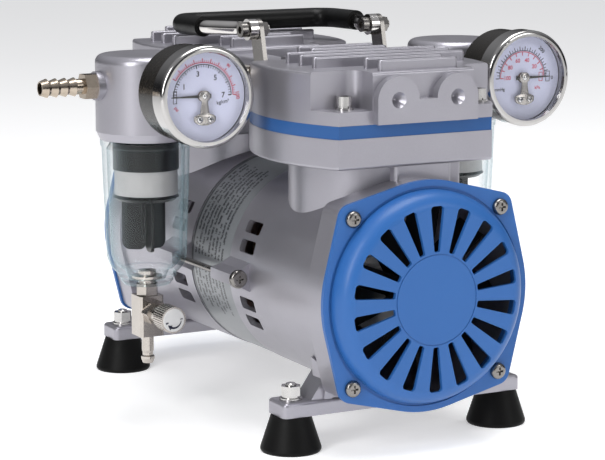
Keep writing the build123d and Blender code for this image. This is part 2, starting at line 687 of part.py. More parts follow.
with BuildPart() as straps:
    for hand in HANDS.values():
        blade_x = hand * PIVOT_X + EYE_HALF + STRAP_GAP
        bolt_x = HEAD_SHIFT + hand * HEAD_BOLT_X
        bolt_y = HEAD_BOLT_Y - HEAD_Y
        # upright blade with a round eye
        with BuildSketch(along_x(blade_x)):
            with Locations((PIVOT_Y, PIVOT_Z)):
                Circle(STRAP_R)
            with Locations((STRAP_FOOT_Y, LEDGE_Z + 4)):
                Rectangle(2 * STRAP_FOOT_R, 8)
            make_hull()
            with Locations((PIVOT_Y, PIVOT_Z)):
                Circle(PIVOT_R + BORE_PLAY, mode=Mode.SUBTRACT)
        extrude(amount=STRAP_T)
        # foot that lies on the ledge, under the head bolt
        with BuildSketch(Plane.XY.offset(LEDGE_Z)):
            with Locations((bolt_x, bolt_y)):
                Circle(STRAP_FOOT_R)
            with Locations((bolt_x, STRAP_FOOT_Y)):
                Rectangle(2 * STRAP_FOOT_R, 2 * STRAP_FOOT_R)
            make_hull()
            with Locations((bolt_x, bolt_y)):
                Circle(HEAD_BOLT_R + BORE_PLAY, mode=Mode.SUBTRACT)
        extrude(amount=STRAP_T)
straps.part.label = "handle_straps"
export_step(straps.part, "parts/handle_straps.step")

PIVOT_HEAD_R, PIVOT_HEAD_H = 4.25, 4.0
PIVOT_NUT_AF, PIVOT_NUT_T = 8.0, 4.0
with BuildPart() as pivot_bolts:
    for hand in HANDS.values():
        head_x = hand * PIVOT_X - EYE_HALF - STRAP_GAP
        nut_x = hand * PIVOT_X + EYE_HALF + STRAP_GAP + STRAP_T
        with BuildSketch(along_x(head_x)):
            with Locations((PIVOT_Y, PIVOT_Z)):
                Circle(PIVOT_R)
        extrude(amount=nut_x + PIVOT_NUT_T + 1.5 - head_x)
        with BuildSketch(along_x(head_x)):
            with Locations((PIVOT_Y, PIVOT_Z)):
                Circle(PIVOT_HEAD_R)
        extrude(amount=-PIVOT_HEAD_H)
        with BuildSketch(along_x(nut_x)):
            with Locations((PIVOT_Y, PIVOT_Z)):
                RegularPolygon(PIVOT_NUT_AF / 2, 6, major_radius=False)
        extrude(amount=PIVOT_NUT_T)
        with BuildSketch(along_x(head_x - PIVOT_HEAD_H)):
            with Locations((PIVOT_Y, PIVOT_Z)):
                RegularPolygon(2.0, 6, major_radius=False)
        extrude(amount=2.4, mode=Mode.SUBTRACT)
pivot_bolts.part.label = "handle_pivot_bolts"
export_step(pivot_bolts.part, "parts/handle_pivot_bolts.step")

arm = [(PIVOT_X, NECK_Y - 4), (PIVOT_X, NECK_Y), (CROSSBAR_HALF, ARM_Y), (CROSSBAR_HALF, CROSSBAR_Y)]
rod_points = [(-x, y, rod_height(y)) for x, y in arm] + [(x, y, rod_height(y)) for x, y in reversed(arm)]
with BuildPart() as handle_rod:
    with BuildLine() as rod_line:
        FilletPolyline(*rod_points, radius=BEND_R)
    with BuildSketch(Plane(origin=rod_points[0], z_dir=rod_line.line % 0)):
        Circle(ROD_R)
    sweep(path=rod_line.line)
    # flattened ends with an eye for the pivot bolt
    for hand in HANDS.values():
        with BuildSketch(along_x(hand * PIVOT_X - EYE_HALF)):
            with Locations((PIVOT_Y, PIVOT_Z)):
                Circle(STRAP_R)
            with Locations((PIVOT_Y + 6, PIVOT_Z)):
                Rectangle(12, 2 * ROD_R)
            with Locations((PIVOT_Y, PIVOT_Z)):
                Circle(PIVOT_R + PIN_PLAY, mode=Mode.SUBTRACT)
        extrude(amount=2 * EYE_HALF)
handle_rod.part.label = "handle_rod"
export_step(handle_rod.part, "parts/handle_rod.step")

grip_points = [(-CROSSBAR_HALF, GRIP_START, rod_height(GRIP_START)), (-CROSSBAR_HALF, CROSSBAR_Y, CROSSBAR_Z),
               (CROSSBAR_HALF, CROSSBAR_Y, CROSSBAR_Z), (CROSSBAR_HALF, GRIP_START, rod_height(GRIP_START))]
with BuildPart() as handle_grip:
    with BuildLine() as grip_line:
        FilletPolyline(*grip_points, radius=BEND_R)
    with BuildSketch(Plane(origin=grip_points[0], z_dir=grip_line.line % 0)):
        Circle(GRIP_R)
        Circle(GRIP_IN, mode=Mode.SUBTRACT)
    sweep(path=grip_line.line)
handle_grip.part.label = "handle_grip"
export_step(handle_grip.part, "parts/handle_grip.step")

# ---------------------------------------------------------------- feet
FOOT_BASE_R, FOOT_NECK_R = 16.45, 10.75
STUD_BOTTOM = 8.0
BAR_TOP = FOOT_TOP + BAR_T
NUT_AF, NUT_T, WASHER_STACK = 10.0, 5.2, 1.2
FOOT_WASHER_R, LOCK_WASHER_R = 6.2, 5.0
FOOT_SPOTS = [(x * FOOT_X, y * FOOT_Y) for x in (-1, 1) for y in (-1, 1)]
with BuildPart() as feet:
    for x, y in FOOT_SPOTS:
        with BuildSketch(upright(x, y)):
            with BuildLine():
                Polyline((0, 1.2), (FOOT_BASE_R - 4, 1.2), (FOOT_BASE_R - 3, 0), (FOOT_BASE_R - 0.6, 0),
                         (FOOT_BASE_R, 1.0), (FOOT_BASE_R, 2.0), (FOOT_NECK_R, FOOT_TOP), (0, FOOT_TOP), (0, 1.2))
            make_face()
        revolve(axis=Axis((x, y, 0), (0, 0, 1)))
    with BuildSketch(Plane.XY.offset(STUD_BOTTOM)):
        with Locations(*FOOT_SPOTS):
            Circle(STUD_R + BORE_PLAY)
    extrude(amount=FOOT_TOP - STUD_BOTTOM, mode=Mode.SUBTRACT)
feet.part.label = "rubber_feet"
export_step(feet.part, "parts/rubber_feet.step")

with BuildPart() as foot_bolts:
    with BuildSketch(Plane.XY.offset(STUD_BOTTOM)):
        with Locations(*FOOT_SPOTS):
            Circle(STUD_R)
    extrude(amount=BAR_TOP + 2 * WASHER_STACK + NUT_T + 1.4 - STUD_BOTTOM)
    chamfer(foot_bolts.edges().group_by(Axis.Z)[-1], length=0.6)
    # flat washer, spring washer and nut on each stud
    with BuildSketch(Plane.XY.offset(BAR_TOP)):
        with Locations(*FOOT_SPOTS):
            Circle(FOOT_WASHER_R)
    extrude(amount=WASHER_STACK)
    with BuildSketch(Plane.XY.offset(BAR_TOP + WASHER_STACK)):
        with Locations(*FOOT_SPOTS):
            Circle(LOCK_WASHER_R)
    extrude(amount=WASHER_STACK)
    with BuildSketch(Plane.XY.offset(BAR_TOP + 2 * WASHER_STACK)):
        with Locations(*FOOT_SPOTS):
            RegularPolygon(NUT_AF / 2, 6, major_radius=False)
    extrude(amount=NUT_T)
foot_bolts.part.label = "foot_bolts"
export_step(foot_bolts.part, "parts/foot_bolts.step")

# ---------------------------------------------------------------- manifolds and their pipes
MANIFOLD_X, MANIFOLD_W, MANIFOLD_Y = 20.0, 20.0, HEAD_Y - HEAD_HALF
PIPE_R, PIPE_BORE, PIPE_HEX_AF, PIPE_HEX_T = 6.0, 4.0, 14.0, 7.0
TRAP_BOSS = 30.5  # trap axis to the face of each round boss
with BuildPart() as manifolds:
    for hand in HANDS.values():
        with BuildSketch(facing(1, -MANIFOLD_Y, GAUGE_Z, -hand * MANIFOLD_X)):
            RectangleRounded(MANIFOLD_W, 20, 2)
            Circle(PORT_R, mode=Mode.SUBTRACT)
        extrude(amount=2 * MANIFOLD_Y)
        with BuildSketch(beside(hand, MANIFOLD_X, TRAP_Y, GAUGE_Z)):
            Circle(PIPE_BORE - 0.5)
        extrude(amount=MANIFOLD_W / 2, mode=Mode.SUBTRACT)
manifolds.part.label = "manifolds"
export_step(manifolds.part, "parts/manifolds.step")

with BuildPart() as pipes:
    for hand in HANDS.values():
        start, stop = MANIFOLD_X + MANIFOLD_W / 2, TRAP_X - TRAP_BOSS
        with BuildSketch(beside(hand, start, TRAP_Y, GAUGE_Z)):
            Circle(PIPE_R)
        extrude(amount=stop - start)
        for x in (start, stop - PIPE_HEX_T):
            with BuildSketch(beside(hand, x, TRAP_Y, GAUGE_Z)):
                RegularPolygon(PIPE_HEX_AF / 2, 6, major_radius=False)
            extrude(amount=PIPE_HEX_T)
        with BuildSketch(beside(hand, start, TRAP_Y, GAUGE_Z)):
            Circle(PIPE_BORE)
        extrude(amount=stop - start, mode=Mode.SUBTRACT)
pipes.part.label = "trap_pipes"
export_step(pipes.part, "parts/trap_pipes.step")

# ---------------------------------------------------------------- moisture traps
CAP_R, CAP_LOW, CAP_TOP, CAP_NECK_R = 18.4, 141.0, 156.0, 13.4
ELEMENT_R, ELEMENT_IN, ELEMENT_LOW = 17.6, 8.0, 127.0
BAFFLE_LOW, VANE_LOW = 123.5, 97.5
VANE_ANGLES, VANE_R, VANE_T = (20.0, 140.0, 260.0), 14.0, 1.6
SOCKET_R, SOCKET_TOP, BOWL_NECK_R, BOWL_NECK_TOP = 21.0, 167.5, 20.8, 165.5
BOWL_FLOOR = 3.0
DRAIN_BORE = 1.8
with BuildPart() as trap_heads:
    for hand in HANDS.values():
        trap_x = hand * TRAP_X
        with BuildSketch(upright(trap_x, TRAP_Y)):
            with BuildLine():
                Polyline((0, BOWL_TOP), (TRAP_R - 2.2, BOWL_TOP), (TRAP_R, TRAP_EDGE), (TRAP_R, TRAP_TOP - 4.5))
                RadiusArc((TRAP_R, TRAP_TOP - 4.5), (TRAP_R - 4.5, TRAP_TOP), -4.5)
                Polyline((TRAP_R - 4.5, TRAP_TOP), (0, TRAP_TOP), (0, BOWL_TOP))
            make_face()
        revolve(axis=Axis((trap_x, TRAP_Y, 0), (0, 0, 1)))
        # round bosses for the hose barb, the gauge and the pipe
        with BuildSketch(beside(hand, TRAP_X - TRAP_BOSS, TRAP_Y, GAUGE_Z)):
            Circle(8.0)
        extrude(amount=2 * TRAP_BOSS)
        with BuildSketch(forward(trap_x, TRAP_Y, GAUGE_Z)):
            Circle(9.0)
        extrude(amount=TRAP_BOSS)
        # socket for the bowl, and the passages
        with BuildSketch(Plane.XY.offset(BOWL_TOP)):
            with Locations((trap_x, TRAP_Y)):
                Circle(SOCKET_R)
        extrude(amount=SOCKET_TOP - BOWL_TOP, mode=Mode.SUBTRACT)
        with BuildSketch(Plane.XY.offset(SOCKET_TOP)):
            with Locations((trap_x, TRAP_Y)):
                Circle(7.0)
        extrude(amount=GAUGE_Z + 1.5 - SOCKET_TOP, mode=Mode.SUBTRACT)
        with BuildSketch(beside(hand, TRAP_X - TRAP_BOSS, TRAP_Y, GAUGE_Z)):
            Circle(PIPE_BORE)
        extrude(amount=2 * TRAP_BOSS, mode=Mode.SUBTRACT)
        with BuildSketch(forward(trap_x, TRAP_Y, GAUGE_Z)):
            Circle(3.0)
        extrude(amount=TRAP_BOSS, mode=Mode.SUBTRACT)
trap_heads.part.label = "trap_heads"
export_step(trap_heads.part, "parts/trap_heads.step")

BOWL_WALL = 2.6
bowl_rim = [(BOWL_NECK_R, BOWL_NECK_TOP), (BOWL_NECK_R, BOWL_TOP - 0.2), (25.3, BOWL_TOP - 0.2), (25.3, 154.6),
            (24.5, 153.4), (23.9, 131.0), (22.8, 104.0), (22.5, 94.0)]
bowl_foot = [(16.4, 82.4), (16.4, 80.8), (14.8, 79.6), (14.8, 78.2), (13.0, BOWL_BOTTOM), (5.1, BOWL_BOTTOM),
             (5.1, BOWL_BOTTOM + BOWL_FLOOR), (10.4, BOWL_BOTTOM + BOWL_FLOOR), (12.8, 84.6), (14.8, 85.2)]
bowl_inside = [(22.5 - BOWL_WALL, 94.8), (22.8 - BOWL_WALL, 104.0), (23.9 - BOWL_WALL, 131.0), (21.8, 152.6),
               (18.9, BOWL_TOP - 0.4), (18.9, BOWL_NECK_TOP), (BOWL_NECK_R, BOWL_NECK_TOP)]
with BuildPart() as bowls:
    for hand in HANDS.values():
        with BuildSketch(upright(hand * TRAP_X, TRAP_Y)):
            with BuildLine():
                Polyline(*bowl_rim)
                ThreePointArc(bowl_rim[-1], (20.4, 86.8), bowl_foot[0])
                Polyline(*bowl_foot)
                ThreePointArc(bowl_foot[-1], (18.2, 88.6), bowl_inside[0])
                Polyline(*bowl_inside)
            make_face()
        revolve(axis=Axis((hand * TRAP_X, TRAP_Y, 0), (0, 0, 1)))
bowls.part.label = "trap_bowls"
export_step(bowls.part, "parts/trap_bowls.step")

TRAP_SPOTS = [(-TRAP_X, TRAP_Y), (TRAP_X, TRAP_Y)]
with BuildPart() as bowl_seals:
    with BuildSketch(Plane.XY.offset(BOWL_NECK_TOP)):
        with Locations(*TRAP_SPOTS):
            Circle(SOCKET_R - 0.1)
            Circle(18.9, mode=Mode.SUBTRACT)
    extrude(amount=SOCKET_TOP - BOWL_NECK_TOP)
bowl_seals.part.label = "bowl_seals"
export_step(bowl_seals.part, "parts/bowl_seals.step")

with BuildPart() as caps:
    with BuildSketch(Plane.XY.offset(CAP_LOW)):
        with Locations(*TRAP_SPOTS):
            Circle(CAP_R)
            Circle(5.0, mode=Mode.SUBTRACT)
    extrude(amount=CAP_TOP - CAP_LOW)
    with BuildSketch(Plane.XY.offset(CAP_TOP)):
        with Locations(*TRAP_SPOTS):
            Circle(CAP_NECK_R)
            Circle(5.0, mode=Mode.SUBTRACT)
    extrude(amount=SOCKET_TOP - CAP_TOP)
caps.part.label = "filter_caps"
export_step(caps.part, "parts/filter_caps.step")

with BuildPart() as elements:
    with BuildSketch(Plane.XY.offset(ELEMENT_LOW)):
        with Locations(*TRAP_SPOTS):
            Circle(ELEMENT_R)
            Circle(ELEMENT_IN, mode=Mode.SUBTRACT)
    extrude(amount=CAP_LOW - ELEMENT_LOW)
elements.part.label = "filter_elements"
export_step(elements.part, "parts/filter_elements.step")

with BuildPart() as baffles:
    for x, y in TRAP_SPOTS:
        with BuildSketch(upright(x, y)):
            with BuildLine():
                Polyline((0, ELEMENT_LOW), (CAP_R - 1.4, ELEMENT_LOW), (CAP_R, ELEMENT_LOW - 1.6),
                         (CAP_R - 2.6, BAFFLE_LOW), (0, BAFFLE_LOW), (0, ELEMENT_LOW))
            make_face()
        revolve(axis=Axis((x, y, 0), (0, 0, 1)))
    # three vanes hang below the disc, and a stalk inside the element holds the disc to the cap
    with BuildSketch(Plane.XY.offset(VANE_LOW + 6)):
        with Locations(*TRAP_SPOTS):
            Circle(2.5)
    extrude(amount=BAFFLE_LOW - VANE_LOW - 6)
    for x, y in TRAP_SPOTS:
        for angle in VANE_ANGLES:
            a = math.radians(angle)
            with BuildSketch(Plane(origin=(x, y, 0), x_dir=(math.cos(a), math.sin(a), 0),
                                   z_dir=(math.sin(a), -math.cos(a), 0))):
                with Locations((VANE_R / 2, (VANE_LOW + BAFFLE_LOW) / 2)):
                    RectangleRounded(VANE_R, BAFFLE_LOW - VANE_LOW + 5, 4.5)
            extrude(amount=VANE_T / 2, both=True)
    with BuildSketch(Plane.XY.offset(ELEMENT_LOW)):
        with Locations(*TRAP_SPOTS):
            Circle(4.9)
            Circle(3.4, mode=Mode.SUBTRACT)
    extrude(amount=CAP_LOW + 4 - ELEMENT_LOW)
baffles.part.label = "filter_baffles"
export_step(baffles.part, "parts/filter_baffles.step")

# ---------------------------------------------------------------- drain valves and knobs
BLOCK_FRONT, BUSH_FRONT, HEX_FRONT = TRAP_Y - 7, -27.0, TRAP_Y - 14
KNOB_BACK, KNOB_FACE, KNOB_R = -28.4, -40.0, 7.4
STEM_R, STEM_TIP = 2.0, TRAP_Y - 5
with BuildPart() as drain_valves:
    for hand in HANDS.values():
        trap_x = hand * TRAP_X
        # valve block, then the hexagon and the threaded end that hold it to the bowl
        with BuildSketch(Plane.XY.offset(BLOCK_BOTTOM)):
            with Locations((trap_x, TRAP_Y)):
                RectangleRounded(14.4, 14.0, 1.6)
        extrude(amount=BLOCK_TOP - BLOCK_BOTTOM)
        with BuildSketch(Plane.XY.offset(BLOCK_TOP)):
            with Locations((trap_x, TRAP_Y)):
                RegularPolygon(5.6, 6, major_radius=False)
        extrude(amount=BOWL_BOTTOM - BLOCK_TOP)
        with BuildSketch(Plane.XY.offset(BOWL_BOTTOM)):
            with Locations((trap_x, TRAP_Y)):
                Circle(5.0)
        extrude(amount=7.5)
        with BuildSketch(Plane.XY.offset(BOWL_BOTTOM + BOWL_FLOOR)):
            with Locations((trap_x, TRAP_Y)):
                Circle(8.5)
        extrude(amount=1.6)
        # bush for the knob's stem
        with BuildSketch(forward(trap_x, BLOCK_FRONT, KNOB_Z)):
            RegularPolygon(6.0, 6, major_radius=False)
        extrude(amount=BLOCK_FRONT - HEX_FRONT)
        with BuildSketch(forward(trap_x, HEX_FRONT, KNOB_Z)):
            Circle(5.2)
        extrude(amount=HEX_FRONT - BUSH_FRONT)
        # drain barb, and the passage through everything
        with BuildSketch(upright(trap_x, TRAP_Y)):
            with BuildLine():
                Polyline((0, BLOCK_BOTTOM), (3.4, BLOCK_BOTTOM), (3.4, 37.5), (3.0, 36.5), (3.0, 35.0), (3.8, 34.2),
                         (3.8, 32.8), (3.0, 30.5), (0, 30.5), (0, BLOCK_BOTTOM))
            make_face()
        revolve(axis=Axis((trap_x, TRAP_Y, 0), (0, 0, 1)))
        with BuildSketch(Plane.XY.offset(30.5)):
            with Locations((trap_x, TRAP_Y)):
                Circle(DRAIN_BORE)
        extrude(amount=BOWL_BOTTOM + 7.5 - 30.5, mode=Mode.SUBTRACT)
        with BuildSketch(forward(trap_x, STEM_TIP + 0.5, KNOB_Z)):
            Circle(STEM_R + PIN_PLAY)
        extrude(amount=STEM_TIP + 0.5 - BUSH_FRONT, mode=Mode.SUBTRACT)
drain_valves.part.label = "drain_valves"
export_step(drain_valves.part, "parts/drain_valves.step")

for name, hand in HANDS.items():
    with BuildPart() as knob:
        # knurled knob on its stem
        with BuildSketch(forward(hand * TRAP_X, KNOB_BACK, KNOB_Z)):
            Circle(KNOB_R)
            with PolarLocations(KNOB_R + 0.15, 36):
                Circle(0.4, mode=Mode.SUBTRACT)
        extrude(amount=KNOB_BACK - KNOB_FACE)
        with BuildSketch(forward(hand * TRAP_X, STEM_TIP, KNOB_Z)):
            Circle(STEM_R)
        extrude(amount=STEM_TIP - KNOB_BACK)
    knob.part.label = f"{name}_drain_knob"
    export_step(knob.part, f"parts/{name}_drain_knob.step")

# ---------------------------------------------------------------- hose barbs
BARB_FLANGE, BARB_HEX_AF, BARB_HEX_T = TRAP_X + TRAP_BOSS, 13.2, 7.0
RIDGES, RIDGE_L = 4, 5.4
BARB_R, RIDGE_R, HOSE_BORE = 4.3, 5.3, 3.2
ridge_profile = []
for i in range(RIDGES):
    ridge_tip = BARB_TIP - i * RIDGE_L
    ridge_profile += [(ridge_tip, BARB_R - 0.3), (ridge_tip - 3.6, RIDGE_R), (ridge_tip - 4.2, BARB_R)]
with BuildPart() as hose_barbs:
    for hand in HANDS.values():
        with BuildSketch(Plane(origin=(0, TRAP_Y, GAUGE_Z), x_dir=(hand, 0, 0), z_dir=(0, -hand, 0))):
            with BuildLine():
                Polyline((BARB_TIP, HOSE_BORE), *ridge_profile, (BARB_FLANGE, BARB_R), (BARB_FLANGE, HOSE_BORE),
                         (BARB_TIP, HOSE_BORE))
            make_face()
        revolve(axis=Axis((0, TRAP_Y, GAUGE_Z), (1, 0, 0)))
        with BuildSketch(beside(hand, BARB_FLANGE, TRAP_Y, GAUGE_Z)):
            RegularPolygon(BARB_HEX_AF / 2, 6, major_radius=False)
            Circle(HOSE_BORE, mode=Mode.SUBTRACT)
        extrude(amount=BARB_HEX_T)
hose_barbs.part.label = "hose_barbs"
export_step(hose_barbs.part, "parts/hose_barbs.step")

# ---------------------------------------------------------------- gauges
CAN_FRONT, CAN_WALL = -76.5, 1.2
BEZEL_IN = 23.2
STEM_BACK = TRAP_Y - TRAP_BOSS
with BuildPart() as gauge_cases:
    for hand in HANDS.values():
        can_axis = Axis((hand * TRAP_X, 0, GAUGE_Z), (0, 1, 0))
        with BuildSketch(Plane(origin=(hand * TRAP_X, 0, GAUGE_Z), x_dir=(1, 0, 0), z_dir=(0, 0, 1))):
            with BuildLine():
                Polyline((2, GAUGE_BACK), (CAN_R - 2.5, GAUGE_BACK))
                RadiusArc((CAN_R - 2.5, GAUGE_BACK), (CAN_R, GAUGE_BACK - 2.5), 2.5)
                Polyline((CAN_R, GAUGE_BACK - 2.5), (CAN_R, CAN_FRONT), (CAN_R - CAN_WALL, CAN_FRONT),
                         (CAN_R - CAN_WALL, GAUGE_BACK - 2.5), (CAN_R - 2.5, GAUGE_BACK - CAN_WALL),
                         (2, GAUGE_BACK - CAN_WALL), (2, GAUGE_BACK))
            make_face()
        revolve(axis=can_axis)
        # stem with its hexagon
        with BuildSketch(forward(hand * TRAP_X, STEM_BACK, GAUGE_Z)):
            Circle(5.0)
            Circle(2.0, mode=Mode.SUBTRACT)
        extrude(amount=STEM_BACK - GAUGE_BACK)
        with BuildSketch(forward(hand * TRAP_X, STEM_BACK - 2, GAUGE_Z)):
            RegularPolygon(6.5, 6, major_radius=False)
            Circle(2.0, mode=Mode.SUBTRACT)
        extrude(amount=8)
gauge_cases.part.label = "gauge_cases"
export_step(gauge_cases.part, "parts/gauge_cases.step")

with BuildPart() as bezels:
    for hand in HANDS.values():
        with BuildSketch(Plane(origin=(hand * TRAP_X, 0, GAUGE_Z), x_dir=(1, 0, 0), z_dir=(0, 0, 1))):
            with BuildLine():
                Polyline((CAN_R + 0.05, CAN_FRONT + 2), (BEZEL_R, CAN_FRONT + 2), (BEZEL_R, GAUGE_FACE + 2.2))
                RadiusArc((BEZEL_R, GAUGE_FACE + 2.2), (BEZEL_R - 2.2, GAUGE_FACE), 2.2)
                Polyline((BEZEL_R - 2.2, GAUGE_FACE), (BEZEL_IN + 0.6, GAUGE_FACE), (BEZEL_IN, LENS_Y - 0.05),
                         (CAN_R - 1.0, LENS_Y - 0.05), (CAN_R - 1.0, CAN_FRONT - 0.05),
                         (CAN_R + 0.05, CAN_FRONT - 0.05), (CAN_R + 0.05, CAN_FRONT + 2))
            make_face()
        revolve(axis=Axis((hand * TRAP_X, 0, GAUGE_Z), (0, 1, 0)))
bezels.part.label = "gauge_bezels"
export_step(bezels.part, "parts/gauge_bezels.step")

DIAL_R, LENS_R, DIAL_T, LENS_T = 24.5, 24.6, 0.8, 1.5
SPINDLE_R = 0.9
with BuildPart() as dials:
    for hand in HANDS.values():
        with BuildSketch(forward(hand * TRAP_X, DIAL_Y, GAUGE_Z)):
            Circle(DIAL_R)
            Circle(SPINDLE_R, mode=Mode.SUBTRACT)
        extrude(amount=DIAL_T)
dials.part.label = "gauge_dials"
export_step(dials.part, "parts/gauge_dials.step")

with BuildPart() as lenses:
    for hand in HANDS.values():
        with BuildSketch(forward(hand * TRAP_X, LENS_Y + LENS_T, GAUGE_Z)):
            Circle(LENS_R)
        extrude(amount=LENS_T)
lenses.part.label = "gauge_lenses"
export_step(lenses.part, "parts/gauge_lenses.step")

BRACKET_Y, BRACKET_T = -80.6, 0.7
BRACKET_SCREWS = [(-3.6, -14.5), (3.6, -14.5)]
with BuildPart() as gauge_brackets:
    for hand in HANDS.values():
        # T-shaped strap that holds the outer end of the spindle
        with BuildSketch(forward(hand * TRAP_X, BRACKET_Y, GAUGE_Z)):
            Circle(2.4)
            with Locations((0, -12.5)):
                Circle(2.2)
            make_hull()
            with Locations(*BRACKET_SCREWS):
                Circle(3.0)
            with Locations((0, -14.5)):
                Rectangle(7.2, 6)
        extrude(amount=BRACKET_T)
        # legs down to the dial, and two small screws
        with BuildSketch(forward(hand * TRAP_X, DIAL_Y - DIAL_T, GAUGE_Z)):
            with Locations(*BRACKET_SCREWS):
                Circle(2.0)
        extrude(amount=DIAL_Y - DIAL_T - BRACKET_Y)
        with BuildSketch(forward(hand * TRAP_X, BRACKET_Y - BRACKET_T, GAUGE_Z)):
            with Locations(*BRACKET_SCREWS):
                Circle(2.2)
        extrude(amount=0.8)
        with BuildSketch(forward(hand * TRAP_X, BRACKET_Y - BRACKET_T - 0.8, GAUGE_Z)):
            with Locations(*BRACKET_SCREWS):
                Rectangle(2.8, 0.6)
                Rectangle(0.6, 2.8)
        extrude(amount=-0.5, mode=Mode.SUBTRACT)
gauge_brackets.part.label = "gauge_brackets"
export_step(gauge_brackets.part, "parts/gauge_brackets.step")

# the zero of each gauge is on the side away from the pump
for name, hand in HANDS.items():
    with BuildPart() as pointer:
        with BuildSketch(forward(hand * TRAP_X, POINTER_Y + 0.25, GAUGE_Z)):
            Polygon((hand * 18.5, 0.18), (0, 0.9), (-hand * 4.5, 1.2), (-hand * 4.5, -1.2), (0, -0.9),
                    (hand * 18.5, -0.18), align=None)
            Circle(1.9)
        extrude(amount=0.5)
        with BuildSketch(forward(hand * TRAP_X, DIAL_Y + 2, GAUGE_Z)):
            Circle(SPINDLE_R - PIN_PLAY)
        extrude(amount=DIAL_Y + 2 - BRACKET_Y - 0.1)
    pointer.part.label = f"{name}_pointer"
    export_step(pointer.part, f"parts/{name}_pointer.step")

# ---------------------------------------------------------------- terminal box at the right
BOX_LOW, BOX_TOP, BOX_IN, BOX_OUT, BOX_Y = 30.0, 72.0, 38.0, 80.0, 22.0
BOX_WALL, BOX_HOLLOW = 2.0, 18.0
BOX_MID = (BOX_LOW + BOX_TOP) / 2
GLAND_X, GLAND_Z, GLAND_R, CORD_R = 70.0, 40.0, 6.0, 3.5
SWITCH_Y, SWITCH_Z = -9.0, 51.0
SWITCH_L, SWITCH_W = 21.4, 13.4  # opening in the lid
SWITCH_PIVOT, ROCKER_TILT = 77.0, 8.0
with BuildPart() as terminal_box:
    with BuildSketch(Plane.XY.offset(BOX_LOW)):
        with Locations(((BOX_IN + BOX_OUT) / 2, 0)):
            RectangleRounded(BOX_OUT - BOX_IN, 2 * BOX_Y, 3)
    extrude(amount=BOX_TOP - BOX_LOW)
    # saddle on the stator
    with BuildSketch(facing(1, -BOX_Y)):
        Circle(STATOR_R)
    extrude(amount=2 * BOX_Y, mode=Mode.SUBTRACT)
    with BuildSketch(beside(1, BOX_OUT - BOX_HOLLOW, 0, BOX_MID)):
        Rectangle(2 * (BOX_Y - BOX_WALL), BOX_TOP - BOX_LOW - 2 * BOX_WALL)
    extrude(amount=BOX_HOLLOW, mode=Mode.SUBTRACT)
    with BuildSketch(facing(1, BOX_Y - BOX_WALL, GLAND_Z, -GLAND_X)):
        Circle(GLAND_R + BORE_PLAY)
    extrude(amount=BOX_WALL, mode=Mode.SUBTRACT)
terminal_box.part.label = "terminal_box"
export_step(terminal_box.part, "parts/terminal_box.step")

with BuildPart() as box_lid:
    with BuildSketch(beside(1, BOX_OUT, 0, BOX_MID)):
        RectangleRounded(2 * BOX_Y, BOX_TOP - BOX_LOW, 3)
        with Locations((SWITCH_Y, SWITCH_Z - BOX_MID)):
            Rectangle(SWITCH_W, SWITCH_L, mode=Mode.SUBTRACT)
    extrude(amount=BOX_WALL)
box_lid.part.label = "terminal_box_lid"
export_step(box_lid.part, "parts/terminal_box_lid.step")

with BuildPart() as power_switch:
    with BuildSketch(beside(1, BOX_OUT + BOX_WALL, SWITCH_Y, SWITCH_Z)):
        RectangleRounded(SWITCH_W + 2.6, SWITCH_L + 2.6, 1.5)
    extrude(amount=2)
    with BuildSketch(beside(1, BOX_OUT - 14, SWITCH_Y, SWITCH_Z)):
        Rectangle(SWITCH_W - 0.1, SWITCH_L - 0.1)
    extrude(amount=14 + BOX_WALL)
    with BuildSketch(beside(1, BOX_OUT - 12, SWITCH_Y, SWITCH_Z)):
        Rectangle(11, 19.8)
    extrude(amount=20, mode=Mode.SUBTRACT)
power_switch.part.label = "power_switch"
export_step(power_switch.part, "parts/power_switch.step")

tilt = math.radians(ROCKER_TILT)
with BuildPart() as rocker:
    with BuildSketch(Plane(origin=(SWITCH_PIVOT, SWITCH_Y - 5.2, SWITCH_Z),
                           x_dir=(math.cos(tilt), 0, math.sin(tilt)), z_dir=(0, 1, 0))):
        Polygon((-3, -6), (-3, 6), (2, 8.5), (7, 8.5), (5.8, 0), (7, -8.5), (2, -8.5), align=None)
    extrude(amount=10.4)
rocker.part.label = "switch_rocker"
export_step(rocker.part, "parts/switch_rocker.step")

with BuildPart() as gland:
    with BuildSketch(facing(1, BOX_Y - 6, GLAND_Z, -GLAND_X)):
        Circle(GLAND_R)
    extrude(amount=10)
    with BuildSketch(facing(1, BOX_Y, GLAND_Z, -GLAND_X)):
        RegularPolygon(7.5, 6, major_radius=False)
    extrude(amount=5)
    with BuildSketch(facing(1, BOX_Y + 5, GLAND_Z, -GLAND_X)):
        Circle(6.8)
    extrude(amount=9, taper=8)
    with BuildSketch(facing(1, BOX_Y - 6, GLAND_Z, -GLAND_X)):
        Circle(CORD_R)
    extrude(amount=20, mode=Mode.SUBTRACT)
gland.part.label = "cable_gland"
export_step(gland.part, "parts/cable_gland.step")
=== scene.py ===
"""Twin-cylinder rocking-piston pump: the finish of every piece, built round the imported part.

Metres, +Z up. The front fan cover faces -Y, and the left-hand trap stands at -X.
"""
import json
import math

